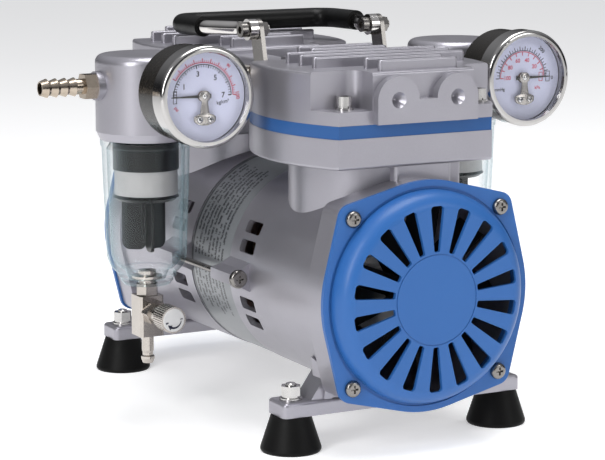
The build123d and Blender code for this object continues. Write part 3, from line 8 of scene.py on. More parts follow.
import bpy
import numpy as np
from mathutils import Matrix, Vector

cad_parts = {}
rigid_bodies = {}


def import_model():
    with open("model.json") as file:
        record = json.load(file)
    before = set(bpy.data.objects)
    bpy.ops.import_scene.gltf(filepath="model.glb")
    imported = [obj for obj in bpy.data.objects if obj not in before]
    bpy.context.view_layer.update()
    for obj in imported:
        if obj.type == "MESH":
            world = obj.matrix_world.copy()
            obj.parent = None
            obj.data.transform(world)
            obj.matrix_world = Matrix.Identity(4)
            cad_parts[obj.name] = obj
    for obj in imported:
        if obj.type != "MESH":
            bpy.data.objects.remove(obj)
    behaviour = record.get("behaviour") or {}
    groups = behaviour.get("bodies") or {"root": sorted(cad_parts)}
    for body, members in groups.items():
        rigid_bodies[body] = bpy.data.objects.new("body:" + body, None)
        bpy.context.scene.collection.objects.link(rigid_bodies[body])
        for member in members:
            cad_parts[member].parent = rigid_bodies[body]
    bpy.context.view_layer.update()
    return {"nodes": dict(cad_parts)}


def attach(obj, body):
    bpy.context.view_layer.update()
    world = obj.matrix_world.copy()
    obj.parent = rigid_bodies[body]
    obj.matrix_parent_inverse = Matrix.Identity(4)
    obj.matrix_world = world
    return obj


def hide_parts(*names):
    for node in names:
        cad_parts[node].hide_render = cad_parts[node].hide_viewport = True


for start_object in list(bpy.data.objects):
    bpy.data.objects.remove(start_object)
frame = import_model()
nodes = frame["nodes"]


# ---------------------------------------------------------------- castings
# The two motor housings, the cylinder heads, the trap heads and the manifolds are die-cast
# aluminium, tumbled and sprayed with a satin silver-grey paint that holds fine metal flake.
class Socket:
    """A value in a material: Python operators on it add Math nodes."""

    def __init__(self, finish, out):
        self.finish, self.out = finish, out

    def math(self, operation, *terms):
        return self.finish.node("ShaderNodeMath", {"operation": operation}, terms)

    def __add__(self, other):
        return self.math("ADD", self, other)

    def __sub__(self, other):
        return self.math("SUBTRACT", self, other)

    def __rsub__(self, other):
        return self.math("SUBTRACT", other, self)

    def __mul__(self, other):
        return self.math("MULTIPLY", self, other)

    def __pow__(self, other):
        return self.math("POWER", self, other)

    def __gt__(self, other):
        return self.math("GREATER_THAN", self, other)

    def __lt__(self, other):
        return self.math("LESS_THAN", self, other)

    __radd__, __rmul__ = __add__, __mul__


class Finish:
    """One material: fixed values on its shader, and nodes for what changes over the surface."""

    def __init__(self, name, fixed):
        self.material = bpy.data.materials.new(name)
        self.material.use_nodes = True
        self.tree = self.material.node_tree
        self.shader = self.tree.nodes["Principled BSDF"]
        for key, value in fixed.items():
            self.shader.inputs[key].default_value = value

    def node(self, kind, settings, values, output=0):
        """Adds a node: its settings first, then its sockets' values or links, by place or by name."""
        made = self.tree.nodes.new(kind)
        for key, value in settings.items():
            if key == "stops":
                while len(made.color_ramp.elements) < len(value):
                    made.color_ramp.elements.new(1.0)
                for element, (place, colour) in zip(made.color_ramp.elements, value):
                    element.position, element.color = place, colour
            else:
                setattr(made, key, value)
        for key, value in values.items() if isinstance(values, dict) else enumerate(values):
            if isinstance(value, Socket):
                self.tree.links.new(value.out, made.inputs[key])
            else:
                made.inputs[key].default_value = value
        return Socket(self, made.outputs[output])

    def noise(self, scale, detail=2.0, stretch=(1.0, 1.0, 1.0)):
        """Even noise from 0 to 1 in the object's own space, with its cells per metre in scale."""
        place = self.node("ShaderNodeTexCoord", {}, {}, "Object")
        place = self.node("ShaderNodeMapping", {}, {"Vector": place, "Scale": stretch})
        return self.node("ShaderNodeTexNoise", {}, {"Vector": place, "Scale": scale, "Detail": detail})

    def mix(self, amount, low, high):
        return self.node("ShaderNodeMix", {"data_type": "RGBA"}, {0: amount, 6: low, 7: high}, 2)

    def vary(self, name, value):
        self.tree.links.new(value.out, self.shader.inputs[name])

    def bump(self, height, strength, distance):
        values = {"Strength": strength, "Distance": distance, "Height": height}
        self.vary("Normal", self.node("ShaderNodeBump", {}, values))

    def dress(self, *names):
        """Gives the finish to CAD nodes."""
        for name in names:
            for holder in nodes[name].material_slots:
                holder.material = self.material


def grey(level, warmth=0.0):
    """A grey that is a little warmer where warmth is over 0, and bluer where it is under 0."""
    return (level * (1 + warmth), level, level * (1 - warmth), 1.0)


def paint(name, low, high, metallic, roughness, coat=0.0):
    """Sprayed paint: slow drift of tone, fine flake, and the faint orange peel of the spray."""
    made = Finish(name, {"Metallic": metallic, "Coat Weight": coat, "Coat Roughness": 0.18,
                         "Specular IOR Level": 0.3})
    made.vary("Base Color", made.mix(made.noise(18.0) * 0.6 + made.noise(2600.0) * 0.4, low, high))
    sheen = made.noise(70.0, 3.0) * 0.12 + made.noise(1900.0) * 0.08
    made.vary("Roughness", sheen + (roughness - 0.10))
    made.bump(made.noise(900.0, 3.0) + made.noise(160.0) * 1.5, 0.10, 0.0002)
    return made


silver = paint("silver casting paint", (0.300, 0.292, 0.326, 1.0), (0.430, 0.420, 0.462, 1.0),
               0.70, 0.34)
silver.dress("front_housing", "rear_housing", "front_cylinder_head", "rear_cylinder_head",
             "trap_heads", "manifolds")

# ---------------------------------------------------------------- fan covers and valve plates
# The slotted fan covers are pressed steel and the valve plates are cut from aluminium plate.
# Both carry a smooth mid-blue paint, a little glossier than the castings; the plates get a darker copy of
# it, painted shade.
paint("blue cover paint", (0.021, 0.108, 0.345, 1.0), (0.031, 0.135, 0.400, 1.0),
      0.0, 0.42, 0.12).dress("front_fan_cover", "rear_fan_cover")
# Painted shade: the covers' blue made darker on the plates, to hold them down under the top light.
paint("blue plate paint with painted shade", (0.014, 0.078, 0.250, 1.0), (0.021, 0.098, 0.295, 1.0),
      0.0, 0.36, 0.12).dress("valve_plates")


# ---------------------------------------------------------------- screws, bolts, washers, straps
# Head bolts with their washers and foot bolts are bright zinc-plated steel, a little cloudy. The
# fan-cover screws, tie rods, handle straps and pivot bolts carry a darker copy of it, painted shade.
def metal(name, low, high, roughness, spread=0.12, stretch=(1.0, 1.0, 1.0)):
    """Bare or plated metal: cloudy tone, and a roughness that drifts from place to place."""
    made = Finish(name, {"Metallic": 1.0})
    cloud = made.noise(120.0, 3.0, stretch)
    made.vary("Base Color", made.mix(cloud, low, high))
    fine = made.noise(2400.0, 1.0, stretch) * (spread / 2)
    made.vary("Roughness", cloud * spread + fine + (roughness - spread / 2))
    made.bump(made.noise(1500.0, 2.0, stretch), 0.06, 0.0001)
    return made


metal("zinc plate", grey(0.42, 0.02), grey(0.60, 0.02), 0.22, 0.08).dress(
    "head_bolt_washers", "head_bolts", "foot_bolts")
# Painted shade: the same zinc plate made darker, standing in for the dark these parts reflect.
metal("zinc plate darkened as painted shade", grey(0.17, 0.05), grey(0.28, 0.05), 0.24, 0.08).dress(
    "fan_cover_screws", "tie_rods", "handle_straps", "handle_pivot_bolts")

# ---------------------------------------------------------------- handle
# The folding handle is a steel rod with flattened ends, polished and chrome plated. A smooth
# black rubber tube is pushed over its crossbar and arms.
metal("handle chrome", grey(0.58, 0.03), grey(0.68, 0.03), 0.10, 0.06).dress("handle_rod")


def rubber(name, low, high, roughness):
    """Moulded black rubber: fine grain and a soft, uneven sheen."""
    made = Finish(name, {"Specular IOR Level": 0.15})
    made.vary("Base Color", made.mix(made.noise(90.0, 4.0), grey(low), grey(high)))
    made.vary("Roughness", made.noise(240.0, 3.0) * 0.16 + (roughness - 0.08))
    made.bump(made.noise(1400.0, 3.0), 0.16, 0.0002)
    return made


rubber("grip rubber", 0.004, 0.008, 0.36).dress("handle_grip")

# ---------------------------------------------------------------- feet
# Four hollow-based cones of hard black rubber, each moulded on a threaded stud.
rubber("foot rubber", 0.002, 0.005, 0.50).dress("rubber_feet")


# ---------------------------------------------------------------- stator and its rating band
# The stator laminations sit between the housings, with a silver printed band stuck round them.
# The band has a dark line along its edges, and rows of small print shown here as plain dashes.
def grid_piece(name, points, material, closed_u=False, closed_v=False, uv=None):
    """Makes a mesh from an array of points (rows, columns, 3), one quad between each four
    neighbours; closed_u joins the last column to the first and closed_v the last row to the first."""
    rows, columns = points.shape[:2]
    index = np.arange(rows * columns).reshape(rows, columns)
    down = np.roll(index, -1, 0) if closed_v else index[1:]
    body = index if closed_v else index[:-1]
    if closed_u:
        quads = np.stack([body, np.roll(body, -1, 1), np.roll(down, -1, 1), down], -1)
    else:
        quads = np.stack([body[:, :-1], body[:, 1:], down[:, 1:], down[:, :-1]], -1)
    mesh = bpy.data.meshes.new(name)
    mesh.from_pydata(points.reshape(-1, 3).tolist(), [], quads.reshape(-1, 4).tolist())
    mesh.polygons.foreach_set("use_smooth", np.ones(len(mesh.polygons), bool))
    if uv is not None:
        loops = np.empty(len(mesh.loops), np.int32)
        mesh.loops.foreach_get("vertex_index", loops)
        mesh.uv_layers.new(name="band").data.foreach_set("uv", uv.reshape(-1, 2)[loops].ravel())
    mesh.materials.append(material)
    piece = bpy.data.objects.new(name, mesh)
    bpy.context.scene.collection.objects.link(piece)
    return piece


SHAFT_Z = 0.08275
BAND_R, BAND_HALF = 0.05842, 0.0247
metal("stator steel", grey(0.42), grey(0.55), 0.42).dress("stator_core")

band = Finish("rating band print", {"Metallic": 0.25, "Coat Weight": 0.3, "Coat Roughness": 0.2})
band_uv = band.node("ShaderNodeUVMap", {"uv_map": "band"}, {})
along = band.node("ShaderNodeSeparateXYZ", {}, [band_uv], 0)  # metres round the band
across = band.node("ShaderNodeSeparateXYZ", {}, [band_uv], 1)  # metres along the motor
ROW_PITCH, INK_OVER = 0.0042, 0.40  # between rows of print; noise above INK_OVER is printed
row_place = across * (1 / ROW_PITCH)
row = row_place.math("FLOOR", row_place)
in_row = row_place - row
word_place = band.node("ShaderNodeCombineXYZ", {}, [along * 420.0, row * 7.31, 0.0])
dashes = {"Scale": 1.0, "Detail": 0.0}
words = band.node("ShaderNodeTexNoise", {}, {"Vector": word_place, **dashes}) > INK_OVER
letter_place = band.node("ShaderNodeCombineXYZ", {}, [along * 1500.0, in_row * 2.0 + row * 5.0, 3.0])
letters = band.node("ShaderNodeTexNoise", {}, {"Vector": letter_place, **dashes}) > INK_OVER
ragged = band.node("ShaderNodeTexNoise", {"noise_dimensions": "1D"}, {"W": row * 3.7, "Scale": 1.0})
lower_print = (along > 0.0945) * (along < ragged * 0.030 + 0.104)
upper_print = (along > ragged * 0.020 + 0.018) * (along < 0.0885)
in_margin = (across > -0.0170) * (across < 0.0215)
on_row = (in_row > 0.24) * (in_row < 0.80)
print_mask = words * letters * on_row * in_margin * (upper_print + lower_print)
edge_line = (across > 0.0222) * (across < 0.0240)
ink = (print_mask + edge_line).math("MINIMUM", print_mask + edge_line, 1.0)
paper = band.mix(band.noise(900.0), grey(0.21, -0.06), grey(0.26, -0.06))
band.vary("Base Color", band.mix(ink * 0.93, paper, (0.012, 0.014, 0.022, 1.0)))
band.vary("Roughness", band.noise(60.0) * 0.10 + 0.30)

turn = np.linspace(math.radians(-170), math.radians(170), 241)  # from the top, positive towards -X
width = np.linspace(-BAND_HALF, BAND_HALF, 13)
angles, sides = np.meshgrid(turn, width)
band_points = np.stack([-BAND_R * np.sin(angles), sides, SHAFT_Z + BAND_R * np.cos(angles)], -1)
band_piece = grid_piece("rating_band", band_points, band.material,
                        uv=np.stack([angles * BAND_R, sides], -1))
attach(band_piece, "pump")

# ---------------------------------------------------------------- nickel-plated brass fittings
# Drain valves, their knurled knobs and the pipes to the traps are turned brass with a warm
# nickel plate. The hose barbs have a thinner plate that lets the brass show through.
metal("warm nickel", grey(0.38, 0.08), grey(0.52, 0.08), 0.22, 0.06).dress(
    "drain_valves", "left_drain_knob", "right_drain_knob", "trap_pipes")
metal("thin nickel on brass", (0.34, 0.28, 0.22, 1.0), (0.54, 0.47, 0.39, 1.0),
      0.20, 0.08).dress("hose_barbs")


# ---------------------------------------------------------------- moisture traps
# Each trap has a clear moulded bowl with a faint teal tint, seen most at its edges. A black cap,
# a white sintered element and a black baffle with three vanes hang inside it.
def clear(name, face, edge, base_alpha, edge_alpha, power, roughness):
    """Clear moulding: see-through face on, denser and darker towards its silhouette. What is not
    let through is mirrored, so that a thin wall still carries bright reflections."""
    made = Finish(name, {"Metallic": 1.0})
    rim = made.node("ShaderNodeLayerWeight", {}, {"Blend": 0.5}, "Facing") ** power
    made.vary("Base Color", made.mix(rim, face, edge))
    made.vary("Alpha", rim * edge_alpha + base_alpha)
    made.vary("Roughness", made.noise(80.0) * 0.04 + roughness)
    made.material.surface_render_method = "BLENDED"
    return made


clear("clear bowl", (0.66, 0.78, 0.82, 1.0), (0.07, 0.26, 0.33, 1.0),
      0.008, 0.80, 2.2, 0.05).dress("trap_bowls")


def plastic(name, low, high, roughness, grain=0.12):
    """Moulded plastic: close tones, and the faint grain of the mould."""
    made = Finish(name, {"Specular IOR Level": 0.3})
    made.vary("Base Color", made.mix(made.noise(140.0, 3.0), low, high))
    made.vary("Roughness", made.noise(300.0, 2.0) * 0.12 + (roughness - 0.06))
    made.bump(made.noise(2000.0, 2.0), grain, 0.0001)
    return made


plastic("black filter plastic", grey(0.003), grey(0.006), 0.34, 0.03).dress(
    "filter_caps", "filter_baffles")
plastic("sintered filter", grey(0.38), grey(0.50), 0.75, 0.5).dress("filter_elements")
rubber("seal rubber", 0.010, 0.018, 0.55).dress("bowl_seals", "head_seals")

# ---------------------------------------------------------------- gauges
# Two round gauges with black enamelled steel cases, chromed bezels and clear windows. The white
# dials are printed in black and red, and a bright strap in front holds the spindle's outer end.
case = Finish("gauge case enamel", {"Specular IOR Level": 0.25, "Coat Weight": 0.10,
                                    "Coat Roughness": 0.12})
case.vary("Base Color", case.mix(case.noise(60.0), grey(0.007, 0.14), grey(0.014, 0.14)))
case.vary("Roughness", case.noise(220.0) * 0.10 + 0.22)
case.bump(case.noise(500.0), 0.05, 0.0002)
case.dress("gauge_cases")
metal("bezel chrome", grey(0.42, 0.02), grey(0.52, 0.02), 0.12, 0.05).dress("gauge_bezels")
clear("gauge window", grey(0.90), grey(0.70), 0.030, 0.25, 3.0, 0.02).dress("gauge_lenses")
dial = Finish("dial enamel", {"Specular IOR Level": 0.3})
dial.vary("Base Color", dial.mix(dial.noise(420.0, 3.0), (0.58, 0.60, 0.78, 1.0),
                                 (0.63, 0.65, 0.82, 1.0)))
dial.vary("Roughness", dial.noise(90.0) * 0.15 + 0.45)
dial.dress("gauge_dials")
strap_metal = metal("strap metal", grey(0.26, 0.06), grey(0.46, 0.05), 0.22)
plastic("pointer paint", grey(0.006), grey(0.012), 0.5).dress("left_pointer", "right_pointer")

GAUGE_X, GAUGE_Z, DIAL_FACE = 0.1002, 0.1885, -0.0784
PRINT_LIFT = 0.00006  # ink stands this far off the dial


def ink_finish(name, low, high):
    """Printing ink: matt, with a slight mottle."""
    made = Finish(name, {"Specular IOR Level": 0.3})
    made.vary("Base Color", made.mix(made.noise(700.0), low, high))
    made.vary("Roughness", made.noise(200.0) * 0.1 + 0.5)
    return made


# The black ink is also the painted shade of the strap screws' Phillips recesses.
black_ink_and_recess_shade = ink_finish("black dial ink and painted recess shade", (0.010, 0.012, 0.030, 1.0), (0.018, 0.020, 0.045, 1.0))
red_ink = ink_finish("red dial ink", (0.50, 0.035, 0.085, 1.0), (0.60, 0.055, 0.11, 1.0))


def polar(x, radius, angle, face=DIAL_FACE - PRINT_LIFT):
    """Points on a dial at gauge axis x: radius, and angle from 3 o'clock, anticlockwise."""
    radius, angle = np.broadcast_arrays(radius, angle)
    return np.stack([x + radius * np.cos(angle), np.full(radius.shape, face),
                     GAUGE_Z + radius * np.sin(angle)], -1)


def mark_piece(name, quads, material, body):
    """One flat printed piece from quads (count, 4, 3), each with its corners anticlockwise."""
    quads = np.concatenate(quads)
    mesh = bpy.data.meshes.new(name)
    corners = np.arange(len(quads) * 4).reshape(-1, 4)
    mesh.from_pydata(quads.reshape(-1, 3).tolist(), [], corners.tolist())
    mesh.materials.append(material)
    piece = bpy.data.objects.new(name, mesh)
    bpy.context.scene.collection.objects.link(piece)
    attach(piece, body)
    return piece


def ring_quads(x, inner, outer, start, stop, count):
    """An arc strip between two radii, from start to stop in degrees."""
    a = np.radians(np.linspace(start, stop, count + 1))
    return np.stack([polar(x, inner, a[:-1]), polar(x, outer, a[:-1]), polar(x, outer, a[1:]),
                     polar(x, inner, a[1:])], 1)


def tick_quads(x, inner, outer, angles, half):
    """Radial ticks of constant width at the angles, in degrees."""
    a = np.radians(np.asarray(angles, float))
    along_tick = np.stack([np.cos(a), np.zeros_like(a), np.sin(a)], -1)
    side = np.stack([-np.sin(a), np.zeros_like(a), np.cos(a)], -1) * half
    middle = polar(x, 0.0, a)
    return np.stack([middle + along_tick * inner - side, middle + along_tick * outer - side,
                     middle + along_tick * outer + side, middle + along_tick * inner + side], 1)


def box_quads(x, inner, outer, half, line):
    """A small rectangle drawn round the zero mark: four bars from inner to outer, measured along X."""
    bars = np.array([(inner, outer, half - line, half), (inner, outer, -half, line - half),
                     (inner, inner + line, -half, half), (outer - line, outer, -half, half)])
    corners = bars[:, [[0, 2], [1, 2], [1, 3], [0, 3]]]
    return np.stack([x + corners[..., 0], np.full(corners.shape[:2], DIAL_FACE - PRINT_LIFT),
                     GAUGE_Z + corners[..., 1]], -1)


def dial_text(name, words, material):
    """Flat figures on a dial: each word is (text, x, z, size, turn in degrees)."""
    corners, faces = [], []
    for text, x, z, size, turned in words:
        curve = bpy.data.curves.new(name, "FONT")
        curve.body, curve.size = text, size
        curve.align_x, curve.align_y = "CENTER", "CENTER"
        curve.resolution_u, curve.offset = 3, size * 0.022
        lettering = bpy.data.objects.new(name, curve)
        bpy.context.scene.collection.objects.link(lettering)
        bpy.context.view_layer.update()
        flat = bpy.data.meshes.new_from_object(lettering)
        bpy.data.objects.remove(lettering)
        co = np.empty(len(flat.vertices) * 3)
        flat.vertices.foreach_get("co", co)
        co = co.reshape(-1, 3)
        c, s = math.cos(math.radians(turned)), math.sin(math.radians(turned))
        place = np.stack([x + co[:, 0] * c - co[:, 1] * s, np.full(len(co), DIAL_FACE - PRINT_LIFT),
                          GAUGE_Z + z + co[:, 0] * s + co[:, 1] * c], -1)
        first = len(corners)
        corners += place.tolist()
        faces += [[first + v for v in face.vertices] for face in flat.polygons]
    mesh = bpy.data.meshes.new(name)
    mesh.from_pydata(corners, [], faces)
    mesh.materials.append(material)
    piece = bpy.data.objects.new(name, mesh)
    bpy.context.scene.collection.objects.link(piece)
    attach(piece, "pump")
    return piece


LINE = 0.00036  # width of the printed box's outline
left_x, right_x = -GAUGE_X, GAUGE_X
units = np.linspace(180, 0, 8)
fine = np.linspace(180, 0, 36)
pressure_black = [ring_quads(left_x, 0.0165, 0.0170, 0, 180, 72),
                  tick_quads(left_x, 0.0152, 0.0168, fine, 0.00019),
                  tick_quads(left_x, 0.0149, 0.0168, units, 0.00034),
                  box_quads(left_x, -0.0172, -0.0149, 0.0034, LINE)]
pressure_red = [ring_quads(left_x, 0.0175, 0.0180, 0, 150, 60),
                tick_quads(left_x, 0.0178, 0.0190, np.linspace(150, 0, 41), 0.00018),
                tick_quads(left_x, 0.0178, 0.0199, np.linspace(150, 0, 11), 0.00030)]
vacuum_red = [ring_quads(right_x, 0.0143, 0.0148, 0, 180, 72),
              tick_quads(right_x, 0.0124, 0.0146, np.linspace(0, 180, 11), 0.00028),
              box_quads(right_x, 0.0112, 0.0138, 0.0026, LINE)]
vacuum_black = [ring_quads(right_x, 0.0151, 0.0155, 0, 180, 72),
                tick_quads(right_x, 0.0152, 0.0168, np.linspace(0, 180, 31), 0.00018),
                tick_quads(right_x, 0.0152, 0.0176, np.linspace(0, 180, 16), 0.00024),
                box_quads(right_x, 0.0158, 0.0186, 0.0030, LINE)]
for piece_name, marks, colour in (("left_dial_black_scale", pressure_black, black_ink_and_recess_shade),
                                  ("left_dial_red_scale", pressure_red, red_ink),
                                  ("right_dial_black_scale", vacuum_black, black_ink_and_recess_shade),
                                  ("right_dial_red_scale", vacuum_red, red_ink)):
    mark_piece(piece_name, marks, colour.material, "pump")


def round_dial(x, radius, labels, size, start, step):
    """Figures round a dial, upright: the first at start degrees, and each next one by step."""
    return [(label, x + radius * math.cos(math.radians(start + i * step)),
             radius * math.sin(math.radians(start + i * step)), size, 0.0)
            for i, label in enumerate(labels) if label]


dial_text("left_dial_black_figures",
          round_dial(left_x, 0.0120, ("", "1", "", "3", "", "5", "", "7"), 0.0040, 180, -180 / 7)
          + [("kg/cm²", left_x + 0.0118, -0.0036, 0.0027, 8.0)], black_ink_and_recess_shade.material)
dial_text("left_dial_red_figures", [("100", left_x + 0.0204, -0.0004, 0.0030, -80.0),
                                    ("80", left_x + 0.0152, 0.0154, 0.0022, -40.0),
                                    ("psi", left_x - 0.0152, -0.0062, 0.0024, -55.0)], red_ink.material)
dial_text("right_dial_red_figures",
          round_dial(right_x, 0.0100, ("", "20", "40", "60", "80", "100"), 0.0032, 0, 36)
          + [("kPa", right_x + 0.0104, -0.0062, 0.0026, 0.0)], red_ink.material)
dial_text("right_dial_black_figures", [("200", right_x + 0.0128, 0.0152, 0.0030, -45.0),
                                       ("0", right_x + 0.0202, -0.0010, 0.0028, 0.0),
                                       ("mmHg", right_x - 0.0150, -0.0062, 0.0025, 0.0)], black_ink_and_recess_shade.material)


def turned(name, x, profile, material, body, axis_z=GAUGE_Z, around=40):
    """A turned piece about a line along Y at (x, axis_z): profile is (radius, y) from back to front,
    carried round in a full circle."""
    profile = np.asarray(profile, float)
    a = np.linspace(0, 2 * math.pi, around, endpoint=False)
    points = np.stack([x + profile[:, :1] * np.cos(a), np.repeat(profile[:, 1:], around, 1),
                       axis_z + profile[:, :1] * np.sin(a)], -1)
    piece = grid_piece(name, points, material, closed_u=True)
    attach(piece, body)
    return piece


spindle_metal = metal("spindle cap", grey(0.50), grey(0.64), 0.16)

# The strap is stamped with a narrow waist and a wide foot, and two small pan heads hold the foot.
STRAP_BACK, STRAP_T = -0.08065, 0.0009
HUB_R, HUB_END, WAIST_HALF = 0.0033, -0.0020, 0.0019
FOOT_LOW, FOOT_SCREW_X, FOOT_SCREW_Z = -0.0152, 0.0031, -0.0122
FOOT_ROUND = 0.0031  # the foot's lower corners are rounded over this height
# Half-width at each height: a circle round the spindle, a waist that grows slowly downwards, a
# quick flare to the foot, and a rounded end.
strap_heights = np.linspace(0.0032, FOOT_LOW, 45)
in_hub = strap_heights > HUB_END
around_hub = np.sqrt(np.clip(HUB_R ** 2 - strap_heights ** 2, 0, None)) * in_hub
waist = WAIST_HALF + 0.0009 * np.clip((-strap_heights - 0.004) / 0.006, 0, 1)
flare = 0.0035 * np.clip((-strap_heights - 0.0092) / 0.0014, 0, 1) ** 0.5
past_screws = np.clip(FOOT_SCREW_Z - strap_heights, 0, None) / FOOT_ROUND
foot_end = np.sqrt(np.clip(1 - past_screws ** 2, 0.03, 1))
strap_half = np.where(in_hub, np.maximum(around_hub, 0.0004), waist + flare) * foot_end
strap_half = np.where(strap_heights < 0.001, np.maximum(strap_half, WAIST_HALF * foot_end),
                      strap_half)


def strap_points(x, edge):
    """The strap's edge loop at each height: X is the half-width times edge's first value, and Y goes
    from the back face at 0 to the front at 1 by its second, so edge makes a closed bar."""
    edge = np.asarray(edge, float)
    sideways, depth, height = np.broadcast_arrays(x + strap_half[:, None] * edge[:, 0],
                                                  STRAP_BACK - STRAP_T * edge[:, 1],
                                                  GAUGE_Z + strap_heights[:, None])
    return np.stack([sideways, depth, height], -1)


hub_bronze = metal("dark hub bronze", (0.10, 0.055, 0.035, 1.0), (0.20, 0.12, 0.08, 1.0), 0.3)
for side_name, x in (("left", left_x), ("right", right_x)):
    bar = strap_points(x, [(-1, 0), (-1, 0.75), (-0.86, 1), (0.86, 1), (1, 0.75), (1, 0)])
    middles = np.repeat(bar.mean(1, keepdims=True), bar.shape[1], 1)
    closed = np.concatenate([middles[:1], bar, middles[-1:]])
    strap = grid_piece(f"{side_name}_dial_strap", closed, strap_metal.material, closed_u=True)
    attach(strap, "pump")
    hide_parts("gauge_brackets")
    for screw_side, screw_x in (("near", x - FOOT_SCREW_X), ("far", x + FOOT_SCREW_X)):
        rim_y = STRAP_BACK - STRAP_T
        pan = [(0.0001, rim_y), (0.00175, rim_y), (0.00172, rim_y - 0.0005), (0.0014, rim_y - 0.0009),
               (0.0007, rim_y - 0.0011), (0.0001, rim_y - 0.00112)]
        screw = turned(f"{side_name}_strap_screw_{screw_side}", screw_x, pan,
                       spindle_metal.material, "pump", GAUGE_Z + FOOT_SCREW_Z, 24)
        # Each pan head's Phillips recess is not cut: a flat black mark of two bars just in front of the dome
        # is painted shade for it.
        recess_shade = np.array([[(-0.0010, -0.0002), (0.0010, -0.0002), (0.0010, 0.0002), (-0.0010, 0.0002)],
                          [(-0.0002, -0.0010), (0.0002, -0.0010), (0.0002, 0.0010), (-0.0002, 0.0010)]])
        recess_shade = np.stack([screw_x + recess_shade[..., 0], np.full(recess_shade.shape[:2], rim_y - 0.00116),
                          GAUGE_Z + FOOT_SCREW_Z + recess_shade[..., 1]], -1)
        mark_piece(f"{side_name}_strap_recess_shade_{screw_side}", [recess_shade], black_ink_and_recess_shade.material,
                           "pump")
    hub = turned(f"{side_name}_dial_hub", x, [(0.0001, -0.07835), (0.0029, -0.07835), (0.0029, -0.0788),
                                              (0.0026, -0.0790), (0.0011, -0.0790), (0.0011, -0.0788)],
                 hub_bronze.material, "pump")
    dome = [(0.0016 * math.cos(t), -0.0813 - 0.0009 * math.sin(t)) for t in np.linspace(0, 1.55, 8)]
    cap = turned(f"{side_name}_spindle_cap", x, [(0.0001, -0.0811), (0.0016, -0.0811)] + dome,
                 spindle_metal.material, "pump")

# ---------------------------------------------------------------- drain knobs
# Each knurled knob has a pale enamelled disc on its face, with a black arrow printed round it.
KNOB_Z, KNOB_FACE = 0.061, -0.0400
face_enamel = plastic("knob face enamel", grey(0.60), grey(0.70), 0.40, 0.05)


def knob_arc(x, radius, half_start, half_stop, start, stop, count, face):
    """A curved arrow's tail: a strip round (x, KNOB_Z) that widens from half_start to half_stop."""
    t = np.linspace(0, 1, count + 1)
    a, half = np.radians(start + (stop - start) * t), half_start + (half_stop - half_start) * t

    def at(r, angle):
        return np.stack([x + r * np.cos(angle), np.full(angle.shape, face), KNOB_Z + r * np.sin(angle)], -1)

    return np.stack([at(radius - half[:-1], a[:-1]), at(radius + half[:-1], a[:-1]),
                     at(radius + half[1:], a[1:]), at(radius - half[1:], a[1:])], 1)


for side_name, x in (("left", left_x), ("right", right_x)):
    rim = [(0.0064, KNOB_FACE + 0.0002), (0.0064, KNOB_FACE - 0.0001), (0.0061, KNOB_FACE - 0.0003),
           (0.0058, KNOB_FACE - 0.00034), (0.0001, KNOB_FACE - 0.00034)]
    disc = turned(f"{side_name}_knob_face", x, rim, face_enamel.material, f"{side_name}_knob", KNOB_Z)
    front = KNOB_FACE - 0.00040
    arrow = [knob_arc(x, 0.0043, 0.00020, 0.00065, -8, -118, 24, front),
             knob_arc(x, 0.0043, 0.0015, 0.00004, -112, -146, 6, front),
             knob_arc(x, 0.0044, 0.0008, 0.0008, 2, 9, 2, front),
             knob_arc(x, 0.0044, 0.0008, 0.0008, 192, 204, 2, front)]
    mark_piece(f"{side_name}_knob_arrow", arrow, black_ink_and_recess_shade.material, f"{side_name}_knob")

# ---------------------------------------------------------------- inner works
# Turned steel shaft, bearings, rotor and cranks, aluminium rods and sleeves, dark filled-PTFE
# cups, varnished copper coils, and black moulded fans, seen through the slots and vents only.
metal("machined steel", grey(0.40), grey(0.56), 0.32).dress(
    "main_bearings", "bearing_inner_races", "shaft", "rotor_core", "eccentrics", "front_rod_bearing",
    "rear_rod_bearing", "reed_valves")
metal("machined aluminium", grey(0.58), grey(0.72), 0.34).dress(
    "front_piston_rod", "rear_piston_rod", "front_piston_clamp", "rear_piston_clamp", "cylinder_sleeves")
plastic("filled ptfe", grey(0.05, 0.1), grey(0.08, 0.1), 0.5).dress(
    "front_piston_cup", "rear_piston_cup")
plastic("fan plastic", grey(0.006), grey(0.010), 0.6).dress("cooling_fans")
metal("varnished copper", (0.09, 0.035, 0.015, 1.0), (0.17, 0.07, 0.03, 1.0), 0.40,
      stretch=(1.0, 6.0, 1.0)).dress("stator_winding")

# ---------------------------------------------------------------- terminal box and switch
# A black moulded box on the right of the motor, with its lid, a rocker switch and a cord gland.
plastic("box plastic", grey(0.010), grey(0.018), 0.48, 0.12).dress(
    "terminal_box", "terminal_box_lid", "cable_gland")
plastic("switch plastic", grey(0.010), grey(0.018), 0.28).dress("power_switch", "switch_rocker")

# ---------------------------------------------------------------- floor, light and camera
# Plain pale floor, three large soft lights, and a camera at the height of the heads.
floor_finish = Finish("pale floor", {"Roughness": 0.8, "Specular IOR Level": 0.1,
                                     "Emission Strength": 0.42,
                                     "Emission Color": (1.0, 1.0, 1.0, 1.0)})
floor_finish.vary("Base Color", floor_finish.mix(floor_finish.noise(3.0), grey(0.80), grey(0.83)))
floor = grid_piece("floor", np.array([[[-8, 8, 0], [8, 8, 0]], [[-8, -8, 0], [8, -8, 0]]], float),
                   floor_finish.material)

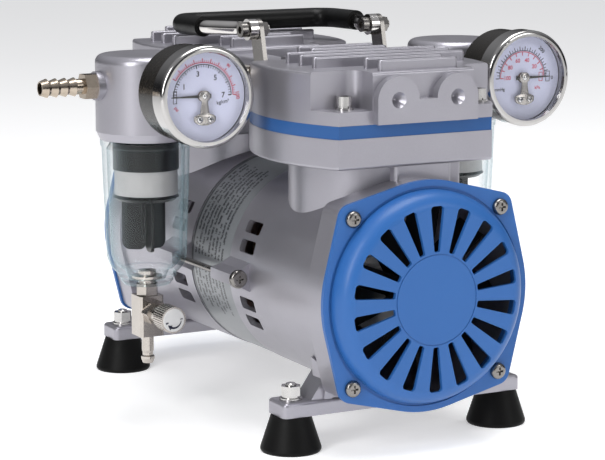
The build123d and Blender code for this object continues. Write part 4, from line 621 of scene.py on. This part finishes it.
# The room is dark near the horizon and bright overhead, so metal shows both.
world = bpy.data.worlds.new("studio")
bpy.context.scene.world = world
world.use_nodes = True
sky = world.node_tree
sky_place = sky.nodes.new("ShaderNodeTexCoord")
sky_split = sky.nodes.new("ShaderNodeSeparateXYZ")
sky_ramp = sky.nodes.new("ShaderNodeValToRGB")
sky.links.new(sky_place.outputs["Generated"], sky_split.inputs[0])
sky.links.new(sky_split.outputs[2], sky_ramp.inputs[0])
sky_ramp.color_ramp.elements[0].color = (0.05, 0.05, 0.055, 1.0)
sky_ramp.color_ramp.elements[0].position = 0.12
sky_ramp.color_ramp.elements[1].position = 0.75
sky_ramp.color_ramp.elements[1].color = (0.95, 0.96, 1.0, 1.0)
sky.links.new(sky_ramp.outputs[0], sky.nodes["Background"].inputs[0])
sky.nodes["Background"].inputs[1].default_value = 0.45

TARGET = Vector((0.0, 0.0, 0.11))
for light_name, place, size, power in (("left softbox", (-1.5, -0.9, 0.9), (0.5, 1.3), 18.0),
                                       ("top softbox", (0.1, -0.1, 1.6), (1.2, 0.8), 20.0),
                                       ("front softbox", (0.9, -1.7, 0.8), (0.6, 0.9), 6.0)):
    lamp = bpy.data.lights.new(light_name, "AREA")
    lamp.shape, lamp.size, lamp.size_y, lamp.energy = "RECTANGLE", size[0], size[1], power
    holder = bpy.data.objects.new(light_name, lamp)
    holder.location = place
    holder.rotation_euler = (TARGET - holder.location).to_track_quat("-Z", "Y").to_euler()
    bpy.context.scene.collection.objects.link(holder)

AZIMUTH, ELEVATION = math.radians(28.12), math.radians(9.65)
LENS, SENSOR = 140.43, 36.0
camera = bpy.data.cameras.new("view")
camera.lens, camera.sensor_width, camera.clip_end = LENS, SENSOR, 30.0
viewer = bpy.data.objects.new("view", camera)
viewer.location = (-0.6363, -1.1931, 0.3272)
looking = Vector((math.sin(AZIMUTH) * math.cos(ELEVATION), math.cos(AZIMUTH) * math.cos(ELEVATION),
                  -math.sin(ELEVATION)))
viewer.rotation_euler = looking.to_track_quat("-Z", "Y").to_euler()
bpy.context.scene.collection.objects.link(viewer)
bpy.context.scene.camera = viewer
bpy.context.scene.view_settings.view_transform = "Standard"

bpy.context.view_layer.update()
